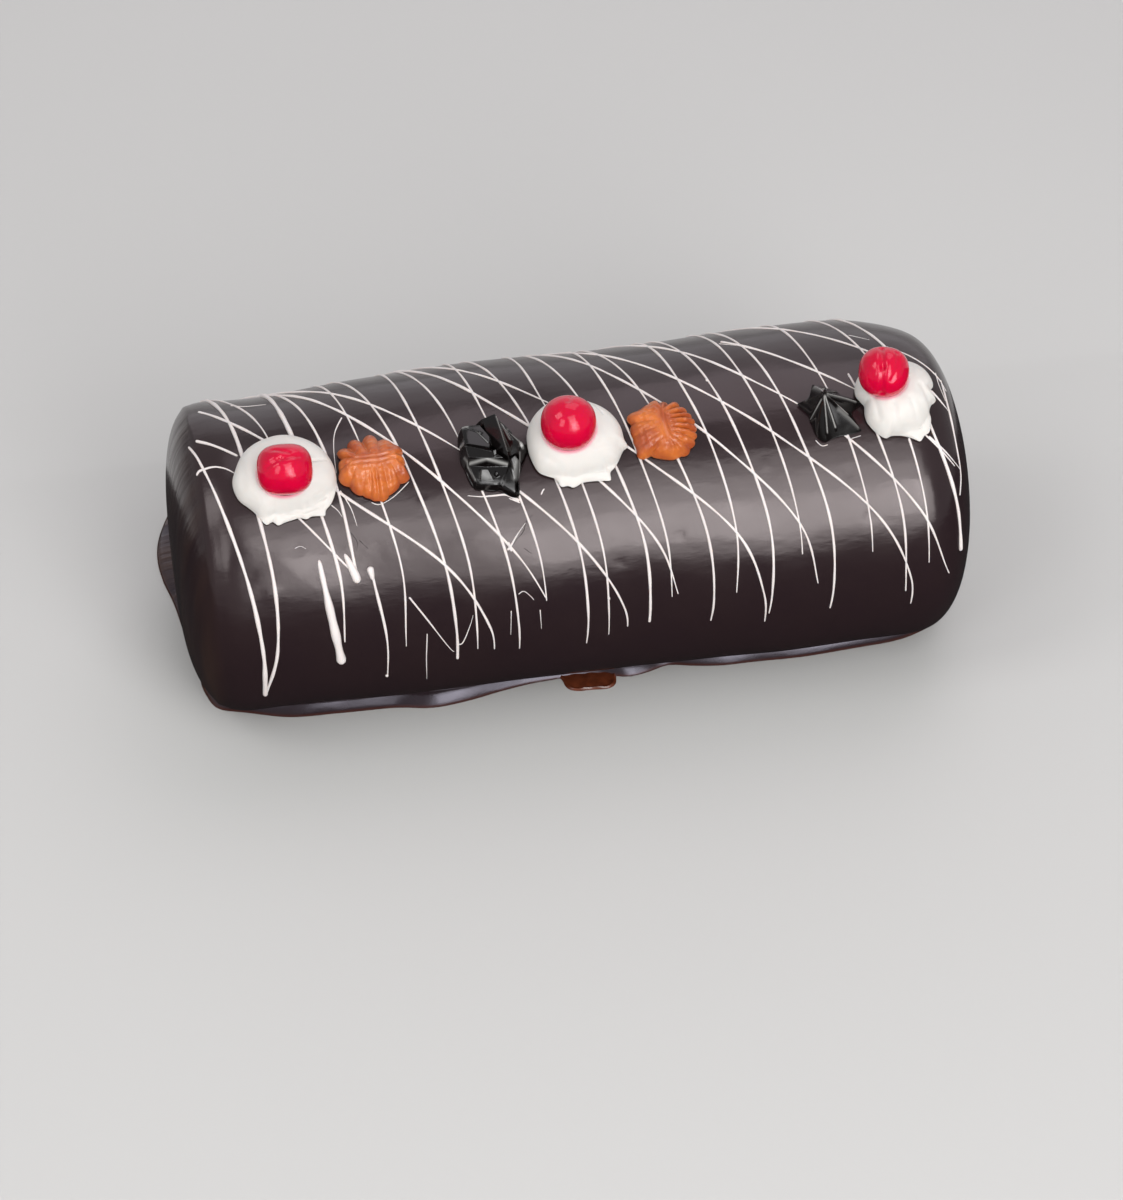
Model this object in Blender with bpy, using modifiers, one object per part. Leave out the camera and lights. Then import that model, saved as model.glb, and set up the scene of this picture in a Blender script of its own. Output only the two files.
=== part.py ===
"""Chocolate swiss roll, 25 cm long, in metres.

A flat-bottomed log of cake under poured dark glaze, with white chocolate piped over it in
two slanting families of strands, and a row of toppings along its front shoulder: three
cream rosettes with a glace cherry each, two caramel stars and two dark chocolate stars.
A puddle of the glaze has set behind the left end.
+X runs along the roll, -Y is its front and the origin is under its middle.
"""
from math import acos, atan2, cos, degrees, exp, pi, radians, sin, sqrt

import bmesh
import bpy
from mathutils import Matrix, Vector

MM = 0.001

# The glazed log
ROLL_RADIUS = 51.5 * MM        # at the middle of its length
TAPER = 0.165                  # share by which the radius grows for each metre towards +X
AXIS_HEIGHT = 0.85 * ROLL_RADIUS
LEFT_TIP = -124 * MM
RIGHT_TIP = 128 * MM
LEFT_ROUND = 22 * MM           # length of the rounded left end
RIGHT_ROUND = 25 * MM
LEFT_POWER = 3.0               # the higher the power, the squarer the end
RIGHT_POWER = 2.7
WAVE = 0.3 * MM                # soft ripple left by the pouring
# Hollows (and swellings, below zero) in the cake under the glaze: x in mm, angle from the
# crest, half length in mm, half width in degrees, depth in mm
HOLLOWS = (
    (-90, -42, 26, 40, 2.2),
    (-120, -25, 9, 35, -3.2),
    (-20, -45, 20, 30, -0.7),
    (36, -45, 14, 30, 0.6),
    (80, -45, 18, 30, -0.9),
    (113, -42, 12, 40, 3.4),
    (122, 40, 12, 60, -0.9),
    (-60, 62, 18, 16, 0.5),
    (70, 75, 25, 20, -0.5),
)
FACETS = 30                    # flat faces round the log
FACET = 360 / FACETS           # degrees
STRAIGHT_BANDS = 10            # along the straight stretch
END_RINGS = 6                  # in each rounded end
GAP = 0.3 * MM                 # between the roll and what sits on it

# The glaze that ran down and set round the base
FOOT_HEIGHT = 3.2 * MM
FOOT_LIP = 0.9 * MM            # rounding of its edge
FOOT_FROM = -119.5 * MM        # its two ends
FOOT_TO = 125.5 * MM
FOOT_REACH = 3.2 * MM          # past the log's own footprint, front and back
FOOT_POINTS = 56
PUDDLE_X = -105 * MM           # middle of the puddle that ran out behind the left end
PUDDLE_Y = 39 * MM
PUDDLE_HALF_X = 22.5 * MM
PUDDLE_HALF_Y = 45 * MM
PUDDLE_NARROWS = 0.45          # on its right side, away from the log
PUDDLE_HUGS = 0.15             # on its left side, round the log's end
PUDDLE_HEIGHT = 2.6 * MM
PUDDLE_POINTS = 32
RUN = 1.0 * MM                 # ripple of the edges where the glaze ran
SINK = 4 * MM                  # every shape starts this far down and is cut level at the floor
# Thicker pools in the foot: centre x, y and the half sizes, mm
POOLS = (
    (-95, -24, 20, 6.5, 5),
    (2, -28, 18, 7, 4.5),
    (80, -25, 36, 8, 4.5),
    (110, 4, 16, 30, 6),
)

# Piped white chocolate. Each strand is given by its x in mm where it crosses these angles
# from the crest, forward positive; past the last value it keeps its direction.
CROSSINGS = (-30, 0, 30, 60, 85, 105)
BACK_STOP = -64                # where strands that run over the back end, degrees
BACK_RAGGED = 8
STRAND_LIFT = 0.18 * MM        # height of a strand's centre line over the glaze
TIP = 0.45                     # a strand's thickness at its ends, as a share
CLEAR = 1.0 * MM               # between a strand's end and a topping
OVER = None                    # marks a strand that starts on the hidden back
# x at the crossings, first angle, last angle, thickness at the start and at the end in mm
STRANDS = (
    # steep strands, from left to right
    ((-124, -116, -109, -103.2, -101, -101.2), 1, 109, 1.0, 1.9),
    ((-106.5, -101.6, -98.6, -95.7, -96.6, -100.4), OVER, 109, 1.6, 1.1),
    ((-102.5, -92.8, -88), OVER, 20, 1.1, 1.0),
    ((-89.3, -85.2, -80.5, -75.7, -76), OVER, 85, 1.8, 1.0),
    ((-86.5, -78.2, -73.2, -70.6), OVER, 61, 1.1, 1.3),
    ((-72.2, -66.6, -61.6, -56.8, -57.2), OVER, 90, 1.1, 0.8),
    ((-65.8, -57.3, -50, -43.6, -41.6, -41.6), OVER, 99, 1.0, 1.2),
    ((-51.7, -47.4, -41.9, -36.4, -35.3, -35.3), OVER, 95, 1.2, 0.9),
    ((-45.4, -37.6, -31.2, -24.6, -22.4, -22.3), OVER, 97, 1.1, 1.0),
    ((-30.2, -26.1, -20.8, -14.7, -13.2), OVER, 77, 1.2, 0.9),
    ((-23, -15.4, -8.2, -2.2, -0.7, -1.4), OVER, 99, 1.0, 1.1),
    ((-11, -7.2, -0.8, 4.8, 5.8, 5.7), OVER, 96, 1.2, 0.8),
    ((-4.6, 3.4, 11, 17.8, 18.8, 17.6), OVER, 92, 1.0, 1.2),
    ((8.8, 13.6, 19.2, 24.8, 25.7), OVER, 82, 1.2, 0.8),
    ((13.5, 22.6, 30.3, 37.5, 38.7, 36.6), OVER, 95, 1.0, 1.1),
    ((31.5, 36.2, 42.3, 46.5, 45.7), OVER, 83, 1.4, 0.8),
    ((36.8, 44.8, 51.6, 57.1, 57, 55), OVER, 94, 1.0, 1.1),
    ((50, 55.9, 62, 66.3, 66.5), OVER, 71, 1.2, 0.8),
    ((55.5, 63.4, 69.8, 75.9, 76.5, 74.6), OVER, 95, 1.0, 1.1),
    ((73.9, 79.1, 84.2, 88.3, 88.7), OVER, 73, 1.2, 0.8),
    ((89.3, 96.6, 102.4, 106.1, 106.8), OVER, 80, 1.1, 0.8),
    ((80, 87.5, 93.2, 98.5, 99.5), 8, 91, 0.9, 1.0),
    ((96.8, 104.6, 110.4, 116.8, 118.4), OVER, 80, 1.1, 1.5),
    # slanting strands
    ((-120, -97.6, -73.5, -43.6, -31.3, -30), -18, 96, 1.3, 1.0),
    ((-86.7, -66, -42.5, -21, -10), OVER, 76, 1.5, 0.9),
    ((-81, -53.8, -25.5, -0.8, 10.9, 11), OVER, 93, 1.2, 1.0),
    ((-41.6, -23.2, 0.5, 21.6, 28.5), OVER, 81, 1.5, 0.9),
    ((-33, -9.4, 19.2, 46.2, 54.5, 55), OVER, 98, 1.1, 1.0),
    ((1.5, 20.5, 45.2, 66.4, 71.9), OVER, 83, 1.2, 0.9),
    ((10, 35.3, 64, 90.7, 101.1, 101.8), OVER, 98, 1.1, 0.9),
    ((29.5, 53.8, 82, 104.3, 113.2), OVER, 87, 1.2, 0.9),
    ((44, 74.3, 104.3, 127), -20, 47, 1.1, 0.9),
    ((71, 99.5, 122), OVER, 24, 1.0, 0.9),
    # short ones: over the left rim, and drips on the front
    ((-150, -114.5, -83), 1, 12, 1.2, 1.2),
    ((-118, -118, -92, -70.8), 34, 60, 1.0, 1.1),
    ((-90, -88, -83.6, -80.9, -78.2, -76.2), 53, 94, 1.1, 2.7),
    ((-70, -69, -68, -65.9, -63.1, -63.3), 58, 104, 1.2, 0.9),
)

# Toppings: x in mm and angle from the crest of the middle of the base
CREAM_HEIGHT = 10.5 * MM
CREAM_SIDES = 26
CREAM_RINGS = 10
# x, angle, half width, half length up and down the slope, angle of the first flute
CREAMS = (
    (-88.9, 23.8, 15.4, 14.9, 15.6, 20),
    (1.1, 22.7, 15.3, 15.2, 16.2, 75),
    (101.9, 22.9, 12.4, 14.8, 15.8, 140),
)
CHERRY_SIDES = 14
CHERRY_RINGS = 10
# radius, how far it sits off its cream's middle along and up the slope, height of its centre
CHERRIES = (
    (8.7, 0.2, -3.2, 13),
    (8.6, -3.3, 0.1, 13),
    (8.2, -4.6, 4.2, 12.9),
)
STAR_RINGS = 9
STEPS_PER_LOBE = 4
# x, angle, half size, height, lobes and how far they stand out, twist in degrees, half
# length of the crest line and its turn in degrees
STARS = {
    "caramel_1": (-61.8, 23.2, 9.9, 7.5, 10, 0.08, 6, 5.5, 4),
    "caramel_2": (28.1, 22.3, 9.8, 8.0, 11, 0.08, -8, 4.5, 96),
    "dark_1": (-26.3, 23.6, 9.8, 12.0, 7, 0.11, 24, 3.5, 150),
    "dark_2": (78.9, 22.0, 9.1, 12.0, 8, 0.11, -14, 0.8, 0),
}
STAR_RIDGE = 1.3 * MM          # height of the ridges over the grooves
UNDER = 6 * MM                 # depth of a topping's underside before its seat is cut


def clear_scene():
    """Remove every object of the open scene."""
    for item in list(bpy.data.objects):
        bpy.data.objects.remove(item)


def new_collection(name):
    """A collection linked to the scene."""
    made = bpy.data.collections.new(name)
    bpy.context.scene.collection.children.link(made)
    return made


def food_material(name, colour, roughness):
    """A Principled BSDF of one colour and roughness."""
    made = bpy.data.materials.new(name)
    made.use_nodes = True
    shader = made.node_tree.nodes["Principled BSDF"]
    shader.inputs["Base Color"].default_value = (*colour, 1)
    shader.inputs["Roughness"].default_value = roughness
    shader.inputs["Metallic"].default_value = 0
    return made


def add_object(name, data, home, material=None):
    """A new object with the given mesh or curve, in a collection."""
    made = bpy.data.objects.new(name, data)
    home.objects.link(made)
    if material:
        made.data.materials.append(material)
    return made


def mesh_from(bm, name):
    """Turn a bmesh into a mesh and free it."""
    bmesh.ops.recalc_face_normals(bm, faces=bm.faces)
    made = bpy.data.meshes.new(name)
    bm.to_mesh(made)
    bm.free()
    return made


def settle(item):
    """Replace an object's mesh by its evaluated one, with every modifier applied."""
    evaluated = item.evaluated_get(bpy.context.evaluated_depsgraph_get())
    result = bpy.data.meshes.new_from_object(evaluated)
    item.modifiers.clear()
    item.data = result


def hide_cutter(item):
    """Mark an object as a cutter, which isn't part of the food."""
    item.hide_render = True
    item.display_type = "WIRE"


def cut(item, cutter):
    """Take a cutter's shape out of an object."""
    step = item.modifiers.new("cut", "BOOLEAN")
    step.operation = "DIFFERENCE"
    step.solver = "MANIFOLD"
    step.object = cutter


def smooth_step(share):
    """Ease from 0 to 1."""
    held = min(max(share, 0), 1)
    return held * held * (3 - 2 * held)


def log_radius(x, angle):
    """Radius of the glazed log at x, at an angle in degrees from the crest."""
    radius = ROLL_RADIUS * (1 + TAPER * x)
    for middle, way, length, width, depth in HOLLOWS:
        away = (angle - way + 180) % 360 - 180
        radius -= depth * MM * exp(-((x / MM - middle) / length) ** 2 - (away / width) ** 2)
    turn = radians(angle)
    radius += WAVE * (sin(61 * x + 2 * turn) + 0.6 * sin(97 * x - 3 * turn + 1.3))
    into_left = (LEFT_TIP + LEFT_ROUND - x) / LEFT_ROUND
    into_right = (x - RIGHT_TIP + RIGHT_ROUND) / RIGHT_ROUND
    if into_left > 0:
        radius *= max(0, 1 - into_left ** LEFT_POWER) ** (1 / LEFT_POWER)
    if into_right > 0:
        radius *= max(0, 1 - into_right ** RIGHT_POWER) ** (1 / RIGHT_POWER)
    return radius


def on_log(x, angle, lift):
    """A point over the log's flat facets, lifted off them."""
    past = angle % FACET - FACET / 2
    flat = cos(radians(FACET / 2)) / cos(radians(past))
    radius = log_radius(x, angle) * flat + lift
    turn = radians(angle)
    return Vector((x, -radius * sin(turn), AXIS_HEIGHT + radius * cos(turn)))


def end_rings(tip, length, power):
    """Where the rings of a rounded end lie, from the straight stretch to near its tip."""
    places = []
    for ring in range(END_RINGS):
        share = sin(radians(90) * (ring + 0.5) / END_RINGS) ** (2 / power)
        places.append(tip - (1 if tip > 0 else -1) * length * (1 - share))
    return places


def turned_log(name, home, extra):
    """The log: a profile turned round the X axis by Screw, then dented by hand."""
    straight_from = LEFT_TIP + LEFT_ROUND
    straight_to = RIGHT_TIP - RIGHT_ROUND
    span = (straight_to - straight_from) / STRAIGHT_BANDS
    places = [LEFT_TIP - extra]
    places += reversed(end_rings(LEFT_TIP, LEFT_ROUND, LEFT_POWER))
    places += [straight_from + span * band for band in range(STRAIGHT_BANDS + 1)]
    places += end_rings(RIGHT_TIP, RIGHT_ROUND, RIGHT_POWER)
    places.append(RIGHT_TIP + extra)
    profile = bmesh.new()
    last = len(places) - 1
    spots = []
    for number, x in enumerate(places):
        on_axis = number in (0, last)
        radius = 0 if on_axis else log_radius(x, 0) + extra
        spots.append(profile.verts.new((x, 0, radius)))
    for first, second in zip(spots, spots[1:]):
        profile.edges.new((first, second))
    mesh = bpy.data.meshes.new(name)
    profile.to_mesh(mesh)
    profile.free()
    log = add_object(name, mesh, home)
    turn = log.modifiers.new("turn", "SCREW")
    turn.axis = "X"
    turn.steps = FACETS
    turn.render_steps = FACETS
    turn.use_merge_vertices = True
    turn.merge_threshold = 0.00001
    settle(log)
    dented = bmesh.new()
    dented.from_mesh(log.data)
    for spot in dented.verts:
        distance = sqrt(spot.co.y ** 2 + spot.co.z ** 2)
        if distance > 0.01 * MM:
            angle = degrees(atan2(-spot.co.y, spot.co.z))
            scale = (log_radius(spot.co.x, angle) + extra) / distance
            spot.co.y *= scale
            spot.co.z *= scale
        spot.co.z += AXIS_HEIGHT
    log.data = mesh_from(dented, name)
    return log


def strand_x(crossings, angle):
    """x of a strand at an angle: a smooth curve through its crossings, straight in plan behind."""
    if angle < CROSSINGS[0]:
        run = (crossings[1] - crossings[0]) / sin(radians(CROSSINGS[1] - CROSSINGS[0]))
        return crossings[1] + run * sin(radians(angle))
    last = len(crossings) - 1
    slot = 0
    while slot < last - 1 and angle > CROSSINGS[slot + 1]:
        slot += 1
    start, stop = CROSSINGS[slot], CROSSINGS[slot + 1]
    share = (angle - start) / (stop - start)

    def slope(at):
        low, high = max(at - 1, 0), min(at + 1, last)
        return (crossings[high] - crossings[low]) / (CROSSINGS[high] - CROSSINGS[low])

    if share > 1:
        return crossings[last] + slope(last) * (angle - stop)
    width = stop - start
    square, cube = share ** 2, share ** 3
    return (
        (2 * cube - 3 * square + 1) * crossings[slot]
        + (cube - 2 * square + share) * width * slope(slot)
        + (3 * square - 2 * cube) * crossings[slot + 1]
        + (cube - square) * width * slope(slot + 1)
    )


def under_topping(x, angle):
    """True where a topping stands, or is too near for a strand to pass."""
    for spot, where, wide, up, down, _ in CREAMS:
        across = x - spot * MM
        along = ROLL_RADIUS * radians(angle - where)
        length = down if along > 0 else up
        if (across / (wide * MM + CLEAR)) ** 2 + (along / (length * MM + CLEAR)) ** 2 < 1:
            return True
    for spot, where, half, _, _, point, *_ in STARS.values():
        across = x - spot * MM
        along = ROLL_RADIUS * radians(angle - where)
        if sqrt(across ** 2 + along ** 2) < half * MM * (1 + point) + CLEAR:
            return True
    return False


def open_runs(crossings, start, stop):
    """The stretches of a strand that lie clear of the toppings, in degrees."""
    runs = []
    entered = None
    angle = start
    while angle <= stop:
        x = strand_x(crossings, angle) * MM
        blocked = under_topping(x, angle) or not LEFT_TIP + 8 * MM < x < RIGHT_TIP - 5 * MM
        if blocked and entered is not None:
            runs.append((entered, angle - 0.5))
            entered = None
        elif not blocked and entered is None:
            entered = angle
        angle += 0.5
    if entered is not None:
        runs.append((entered, stop))
    return [run for run in runs if run[1] - run[0] > 4]


def strand_tube(name, home, crossings, run, whole, thick):
    """One piped strand, as a four-sided tube that bends where the log's facets meet."""
    first, last = run
    angles = [first]
    facet = (first // FACET + 1) * FACET
    while facet < last:
        if facet - angles[-1] > 2 and last - facet > 2:
            angles.append(facet)
        facet += FACET
    angles.append(last)
    curve = bpy.data.curves.new(name, "CURVE")
    curve.dimensions = "3D"
    curve.bevel_depth = 1
    curve.bevel_resolution = 0
    curve.use_fill_caps = True
    spline = curve.splines.new("POLY")
    spline.points.add(len(angles) - 1)
    for point, angle in zip(spline.points, angles):
        share = (angle - whole[0]) / (whole[1] - whole[0])
        width = (thick[0] + (thick[1] - thick[0]) * share) * MM
        at_tip = angle in (whole[0], whole[1]) and thick[1] < 1.8
        place = on_log(strand_x(crossings, angle) * MM, angle, STRAND_LIFT)
        point.co = (*place, 1)
        point.radius = width / 2 * (TIP if at_tip else 1)
    shape = bpy.data.objects.new(name, curve)
    home.objects.link(shape)
    evaluated = shape.evaluated_get(bpy.context.evaluated_depsgraph_get())
    welded = bmesh.new()
    welded.from_mesh(bpy.data.meshes.new_from_object(evaluated))
    bmesh.ops.remove_doubles(welded, verts=welded.verts, dist=0.01 * MM)
    bpy.data.objects.remove(shape)
    add_object(name, mesh_from(welded, name), home)


def pipe_strands(home):
    """Every strand of white chocolate, broken where it meets a topping."""
    for number, (crossings, start, stop, thin, thick) in enumerate(STRANDS):
        if start is OVER:
            start = BACK_STOP + BACK_RAGGED * sin(2.4 * number)
        for part, run in enumerate(open_runs(crossings, start, stop)):
            name = f"strand_{number}_{part}"
            strand_tube(name, home, crossings, run, (start, stop), (thin, thick))


def signed_power(value, power):
    """A power that keeps the sign of its base."""
    return abs(value) ** power * (1 if value > 0 else -1)


def foot_point(turn, extra=0):
    """A point of the foot's edge: a rounded oblong, rippled where the glaze ran."""
    half_width = sqrt(ROLL_RADIUS ** 2 - AXIS_HEIGHT ** 2) + FOOT_REACH + extra
    half_length = (FOOT_TO - FOOT_FROM) / 2 + extra
    x = (FOOT_FROM + FOOT_TO) / 2 + signed_power(cos(turn), 0.35) * half_length
    y = signed_power(sin(turn), 0.6) * half_width
    ripple = RUN * (sin(90 * x + 1) + 0.7 * sin(210 * x + 2) + 0.5 * sin(400 * x))
    return (x, y + ripple * sin(turn))


def puddle_point(turn):
    """A point of the puddle's edge, a lobe that narrows on its right away from the log."""
    lean = 1 - PUDDLE_NARROWS * sin(turn) if cos(turn) > 0 else 1 + PUDDLE_HUGS * min(0, sin(turn))
    x = signed_power(cos(turn), 0.8) * PUDDLE_HALF_X * lean
    y = signed_power(sin(turn), 0.8) * PUDDLE_HALF_Y
    ripple = 1 + (0.5 * sin(3 * turn + 1) + 0.4 * sin(7 * turn)) * RUN / PUDDLE_HALF_X
    return (PUDDLE_X + x * ripple, PUDDLE_Y + y * ripple)


def flat_shape(name, home, edge, points, height):
    """Glaze that set in a flat shape: its edge, given by a rule, with a rounded lip."""
    curve = bpy.data.curves.new(name, "CURVE")
    curve.dimensions = "2D"
    curve.fill_mode = "BOTH"
    curve.extrude = (height + SINK) / 2 - FOOT_LIP
    curve.bevel_depth = FOOT_LIP
    curve.bevel_resolution = 0
    spline = curve.splines.new("POLY")
    spline.use_cyclic_u = True
    spline.points.add(points - 1)
    for number, point in enumerate(spline.points):
        point.co = (*edge(2 * pi * number / points), 0, 1)
    shape = add_object(name, curve, home)
    evaluated = shape.evaluated_get(bpy.context.evaluated_depsgraph_get())
    flat = bmesh.new()
    flat.from_mesh(bpy.data.meshes.new_from_object(evaluated))
    rise = Matrix.Translation((0, 0, (height - SINK) / 2))
    bmesh.ops.transform(flat, matrix=rise, verts=flat.verts)
    bmesh.ops.remove_doubles(flat, verts=flat.verts, dist=0.01 * MM)
    bpy.data.objects.remove(shape)
    return add_object(name, mesh_from(flat, name), home)


def lay_foot(home):
    """The set glaze round the base, and thicker pools in it."""
    flat_shape("foot", home, foot_point, FOOT_POINTS, FOOT_HEIGHT)
    for number, (x, y, half_x, half_y, height) in enumerate(POOLS):
        pool = bmesh.new()
        bmesh.ops.create_uvsphere(pool, u_segments=16, v_segments=8, radius=MM)
        size = Matrix.Diagonal((half_x, half_y, height, 1))
        place = Matrix.Translation((x * MM, y * MM, 0))
        bmesh.ops.transform(pool, matrix=place @ size, verts=pool.verts)
        add_object(f"pool_{number}", mesh_from(pool, "pool"), home)


def floor_cutter(home):
    """A block under the floor, which cuts the base level."""
    block = bmesh.new()
    bmesh.ops.create_cube(block, size=1)
    size = Matrix.Diagonal((0.4, 0.3, 0.1, 1))
    bmesh.ops.transform(block, matrix=Matrix.Translation((0, 0, -0.05)) @ size, verts=block.verts)
    made = add_object("floor_cutter", mesh_from(block, "floor_cutter"), home)
    hide_cutter(made)
    return made


def make_roll(food, floor, material):
    """The log, its foot and its strands, fused into one solid and cut level."""
    fused = new_collection("fused")
    lay_foot(fused)
    pipe_strands(fused)
    roll = turned_log("roll", food, 0)
    join = roll.modifiers.new("fuse", "BOOLEAN")
    join.operation = "UNION"
    join.operand_type = "COLLECTION"
    join.collection = fused
    join.solver = "MANIFOLD"
    settle(roll)
    for piece in list(fused.objects):
        bpy.data.objects.remove(piece)
    bpy.data.collections.remove(fused)
    cut(roll, floor)
    settle(roll)
    roll.data.materials.clear()
    roll.data.materials.append(material)


def lay_puddle(food, cutters, floor, seat, material):
    """The puddle behind the left end, cut to fit round the foot and under the log."""
    puddle = flat_shape("puddle", food, puddle_point, PUDDLE_POINTS, PUDDLE_HEIGHT)
    puddle.data.materials.append(material)

    def round_foot(turn):
        return foot_point(turn, GAP)

    foot = flat_shape("foot_cutter", cutters, round_foot, FOOT_POINTS, 3 * PUDDLE_HEIGHT)
    hide_cutter(foot)
    cut(puddle, foot)
    cut(puddle, seat)
    cut(puddle, floor)


def seat_matrix(x, angle):
    """Frame of a topping: its z axis leaves the log squarely at x and angle."""
    turn = radians(angle)
    radius = log_radius(x, angle)
    place = Matrix.Translation((x, -radius * sin(turn), AXIS_HEIGHT + radius * cos(turn)))
    return place @ Matrix.Rotation(turn, 4, "X")


def shaped_ball(name, home, sides, rings, form, matrix, material):
    """A closed ball whose points are moved by a rule, then set in its place."""
    ball = bmesh.new()
    bmesh.ops.create_uvsphere(ball, u_segments=sides, v_segments=rings, radius=1)
    for spot in ball.verts:
        turn = atan2(spot.co.y, spot.co.x)
        fall = acos(min(max(spot.co.z, -1), 1))
        spot.co = form(turn, fall)
    made = add_object(name, mesh_from(ball, name), home, material)
    made.matrix_world = matrix
    for face in made.data.polygons:
        face.use_smooth = True
    return made


def cream_form(wide, up, down, first_lobe):
    """A piped rosette: a soft dome with a turning flute and a ragged lower edge."""
    def form(turn, fall):
        low = smooth_step((sin(fall) - 0.5) * 2)
        length = up if sin(turn) > 0 else down
        reach = wide * length / sqrt((length * cos(turn)) ** 2 + (wide * sin(turn)) ** 2)
        flute = 0.035 * sin(5 * turn + 1.6 * fall + radians(first_lobe))
        ragged = 0.03 * sin(11 * turn + radians(first_lobe)) * (1 - sin(turn)) / 2
        reach *= 1 + (flute + ragged) * low
        out = abs(sin(fall)) ** 0.72 * reach * MM
        height = CREAM_HEIGHT * cos(fall) if fall < pi / 2 else UNDER * cos(fall)
        return Vector((out * cos(turn), out * sin(turn), height))
    return form


def star_form(half, height, lobes, point, twist, crest, crest_turn):
    """A piped star: ridges that climb from pointed lobes to a short crest line."""
    def form(turn, fall):
        out = sin(fall)
        ridge = 1 - abs(sin(lobes * turn / 2)) * 2
        reach = half * MM * (1 + point * ridge * smooth_step(out * 1.2))
        on_crest = fall < pi / 2 and out > 0.01
        spread = crest * MM * (1 - out ** 2) if on_crest else 0
        along = spread * cos(turn - radians(crest_turn))
        way = turn + radians(twist) * (1 - out)
        x = reach * out * cos(way) + along * cos(radians(crest_turn))
        y = reach * out * sin(way) + along * sin(radians(crest_turn))
        if fall < pi / 2:
            rise = height * MM * (1 - out ** 1.7) + STAR_RIDGE * ridge * out * (1.4 - out)
        else:
            rise = -UNDER * (1 - out ** 2)
        return Vector((x, y, rise))
    return form


def cherry_form(number, radius):
    """A glace cherry: nearly round, pinched a little where its stone was taken out."""
    pinch = (0.10, 0.0, 0.13)[number]
    way = radians((80, 0, 20)[number])

    def form(turn, fall):
        dent = pinch * max(0, cos(turn - way)) ** 4 * sin(fall) ** 2
        crease = pinch * 0.5 * max(0, cos(fall)) ** 8
        reach = radius * (1 - dent - crease + 0.02 * sin(2 * turn + number))
        side = reach * sin(fall)
        return Vector((side * cos(turn), side * sin(turn), reach * 0.95 * cos(fall)))
    return form


def make_toppings(food, cutters, seat, materials):
    """Creams with their cherries, and the stars, each cut to fit what it sits on."""
    pairs = zip(CREAMS, CHERRIES)
    for number, (cream_sizes, cherry_sizes) in enumerate(pairs):
        x, angle, *form_sizes = cream_sizes
        radius, along, up_slope, height = (size * MM for size in cherry_sizes)
        frame = seat_matrix(x * MM, angle)
        lifted = frame @ Matrix.Translation((along, up_slope, height))
        cream = shaped_ball(
            f"cream_{number + 1}", food, CREAM_SIDES, CREAM_RINGS,
            cream_form(*form_sizes), frame, materials["cream"],
        )
        shaped_ball(
            f"cherry_{number + 1}", food, CHERRY_SIDES, CHERRY_RINGS,
            cherry_form(number, radius), lifted, materials["cherry"],
        )
        socket = shaped_ball(
            f"socket_{number + 1}", cutters, CHERRY_SIDES, CHERRY_RINGS,
            cherry_form(number, radius + 1.1 * GAP), lifted, None,
        )
        hide_cutter(socket)
        cut(cream, seat)
        cut(cream, socket)
    for name, (x, angle, half, height, lobes, *shape) in STARS.items():
        star = shaped_ball(
            name, food, lobes * STEPS_PER_LOBE, STAR_RINGS,
            star_form(half, height, lobes, *shape),
            seat_matrix(x * MM, angle), materials[name.split("_")[0]],
        )
        cut(star, seat)


def main():
    """Build the whole roll."""
    clear_scene()
    food = new_collection("chocolate_swiss_roll")
    cutters = new_collection("cutters")
    materials = {
        "cream": food_material("cream", (0.87, 0.84, 0.80), 0.5),
        "cherry": food_material("cherry", (0.55, 0.005, 0.02), 0.12),
        "caramel": food_material("caramel", (0.50, 0.13, 0.025), 0.25),
        "dark": food_material("dark_chocolate", (0.012, 0.009, 0.009), 0.18),
    }
    glaze = food_material("glaze", (0.024, 0.012, 0.013), 0.2)
    floor = floor_cutter(cutters)
    seat = turned_log("seat_cutter", cutters, GAP)
    hide_cutter(seat)
    make_roll(food, floor, glaze)
    lay_puddle(food, cutters, floor, seat, glaze)
    make_toppings(food, cutters, seat, materials)


main()
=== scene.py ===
"""Chocolate swiss roll, dressed for the eye.

A log of cake under poured dark glaze, piped over with white chocolate, with cream
rosettes, glace cherries, caramel stars and dark chocolate stars along its front shoulder.
Lengths in the tables are in millimetres and angles in degrees from the log's crest,
forward positive. +X runs along the log and -Y is its front.

Waves are rows of a height and one wave, or several that are multiplied. A wave holds its
radians for each unit of the measures it runs over, and last its shift.
"""
from math import cos, hypot, pi, radians, sin, sqrt

import bpy
import numpy as np
from bpy.props import FloatProperty, FloatVectorProperty, IntProperty, PointerProperty
from bpy.types import Operator, Panel, PropertyGroup
from mathutils import Matrix, Vector


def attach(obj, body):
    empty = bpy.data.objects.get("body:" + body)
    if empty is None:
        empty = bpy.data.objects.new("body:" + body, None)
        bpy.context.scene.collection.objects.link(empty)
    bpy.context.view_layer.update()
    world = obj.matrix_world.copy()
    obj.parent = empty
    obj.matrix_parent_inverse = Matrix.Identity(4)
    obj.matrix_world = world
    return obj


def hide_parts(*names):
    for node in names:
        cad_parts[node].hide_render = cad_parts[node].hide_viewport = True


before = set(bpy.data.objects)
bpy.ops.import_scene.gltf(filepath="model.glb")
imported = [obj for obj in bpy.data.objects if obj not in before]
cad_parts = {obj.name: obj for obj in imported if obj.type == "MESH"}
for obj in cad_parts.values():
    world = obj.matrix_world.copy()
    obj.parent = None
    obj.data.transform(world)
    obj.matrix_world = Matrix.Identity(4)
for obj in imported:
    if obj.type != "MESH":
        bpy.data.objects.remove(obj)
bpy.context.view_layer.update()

bl_info = {
    "name": "Chocolate Swiss Roll",
    "version": (1, 0, 0),
    "blender": (4, 5, 0),
    "location": "View3D > Sidebar > Swiss Roll",
    "description": "Dresses the glazed roll with its drizzle, creams, cherries and stars",
    "category": "Add Mesh",
}

MM = 0.001

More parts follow.
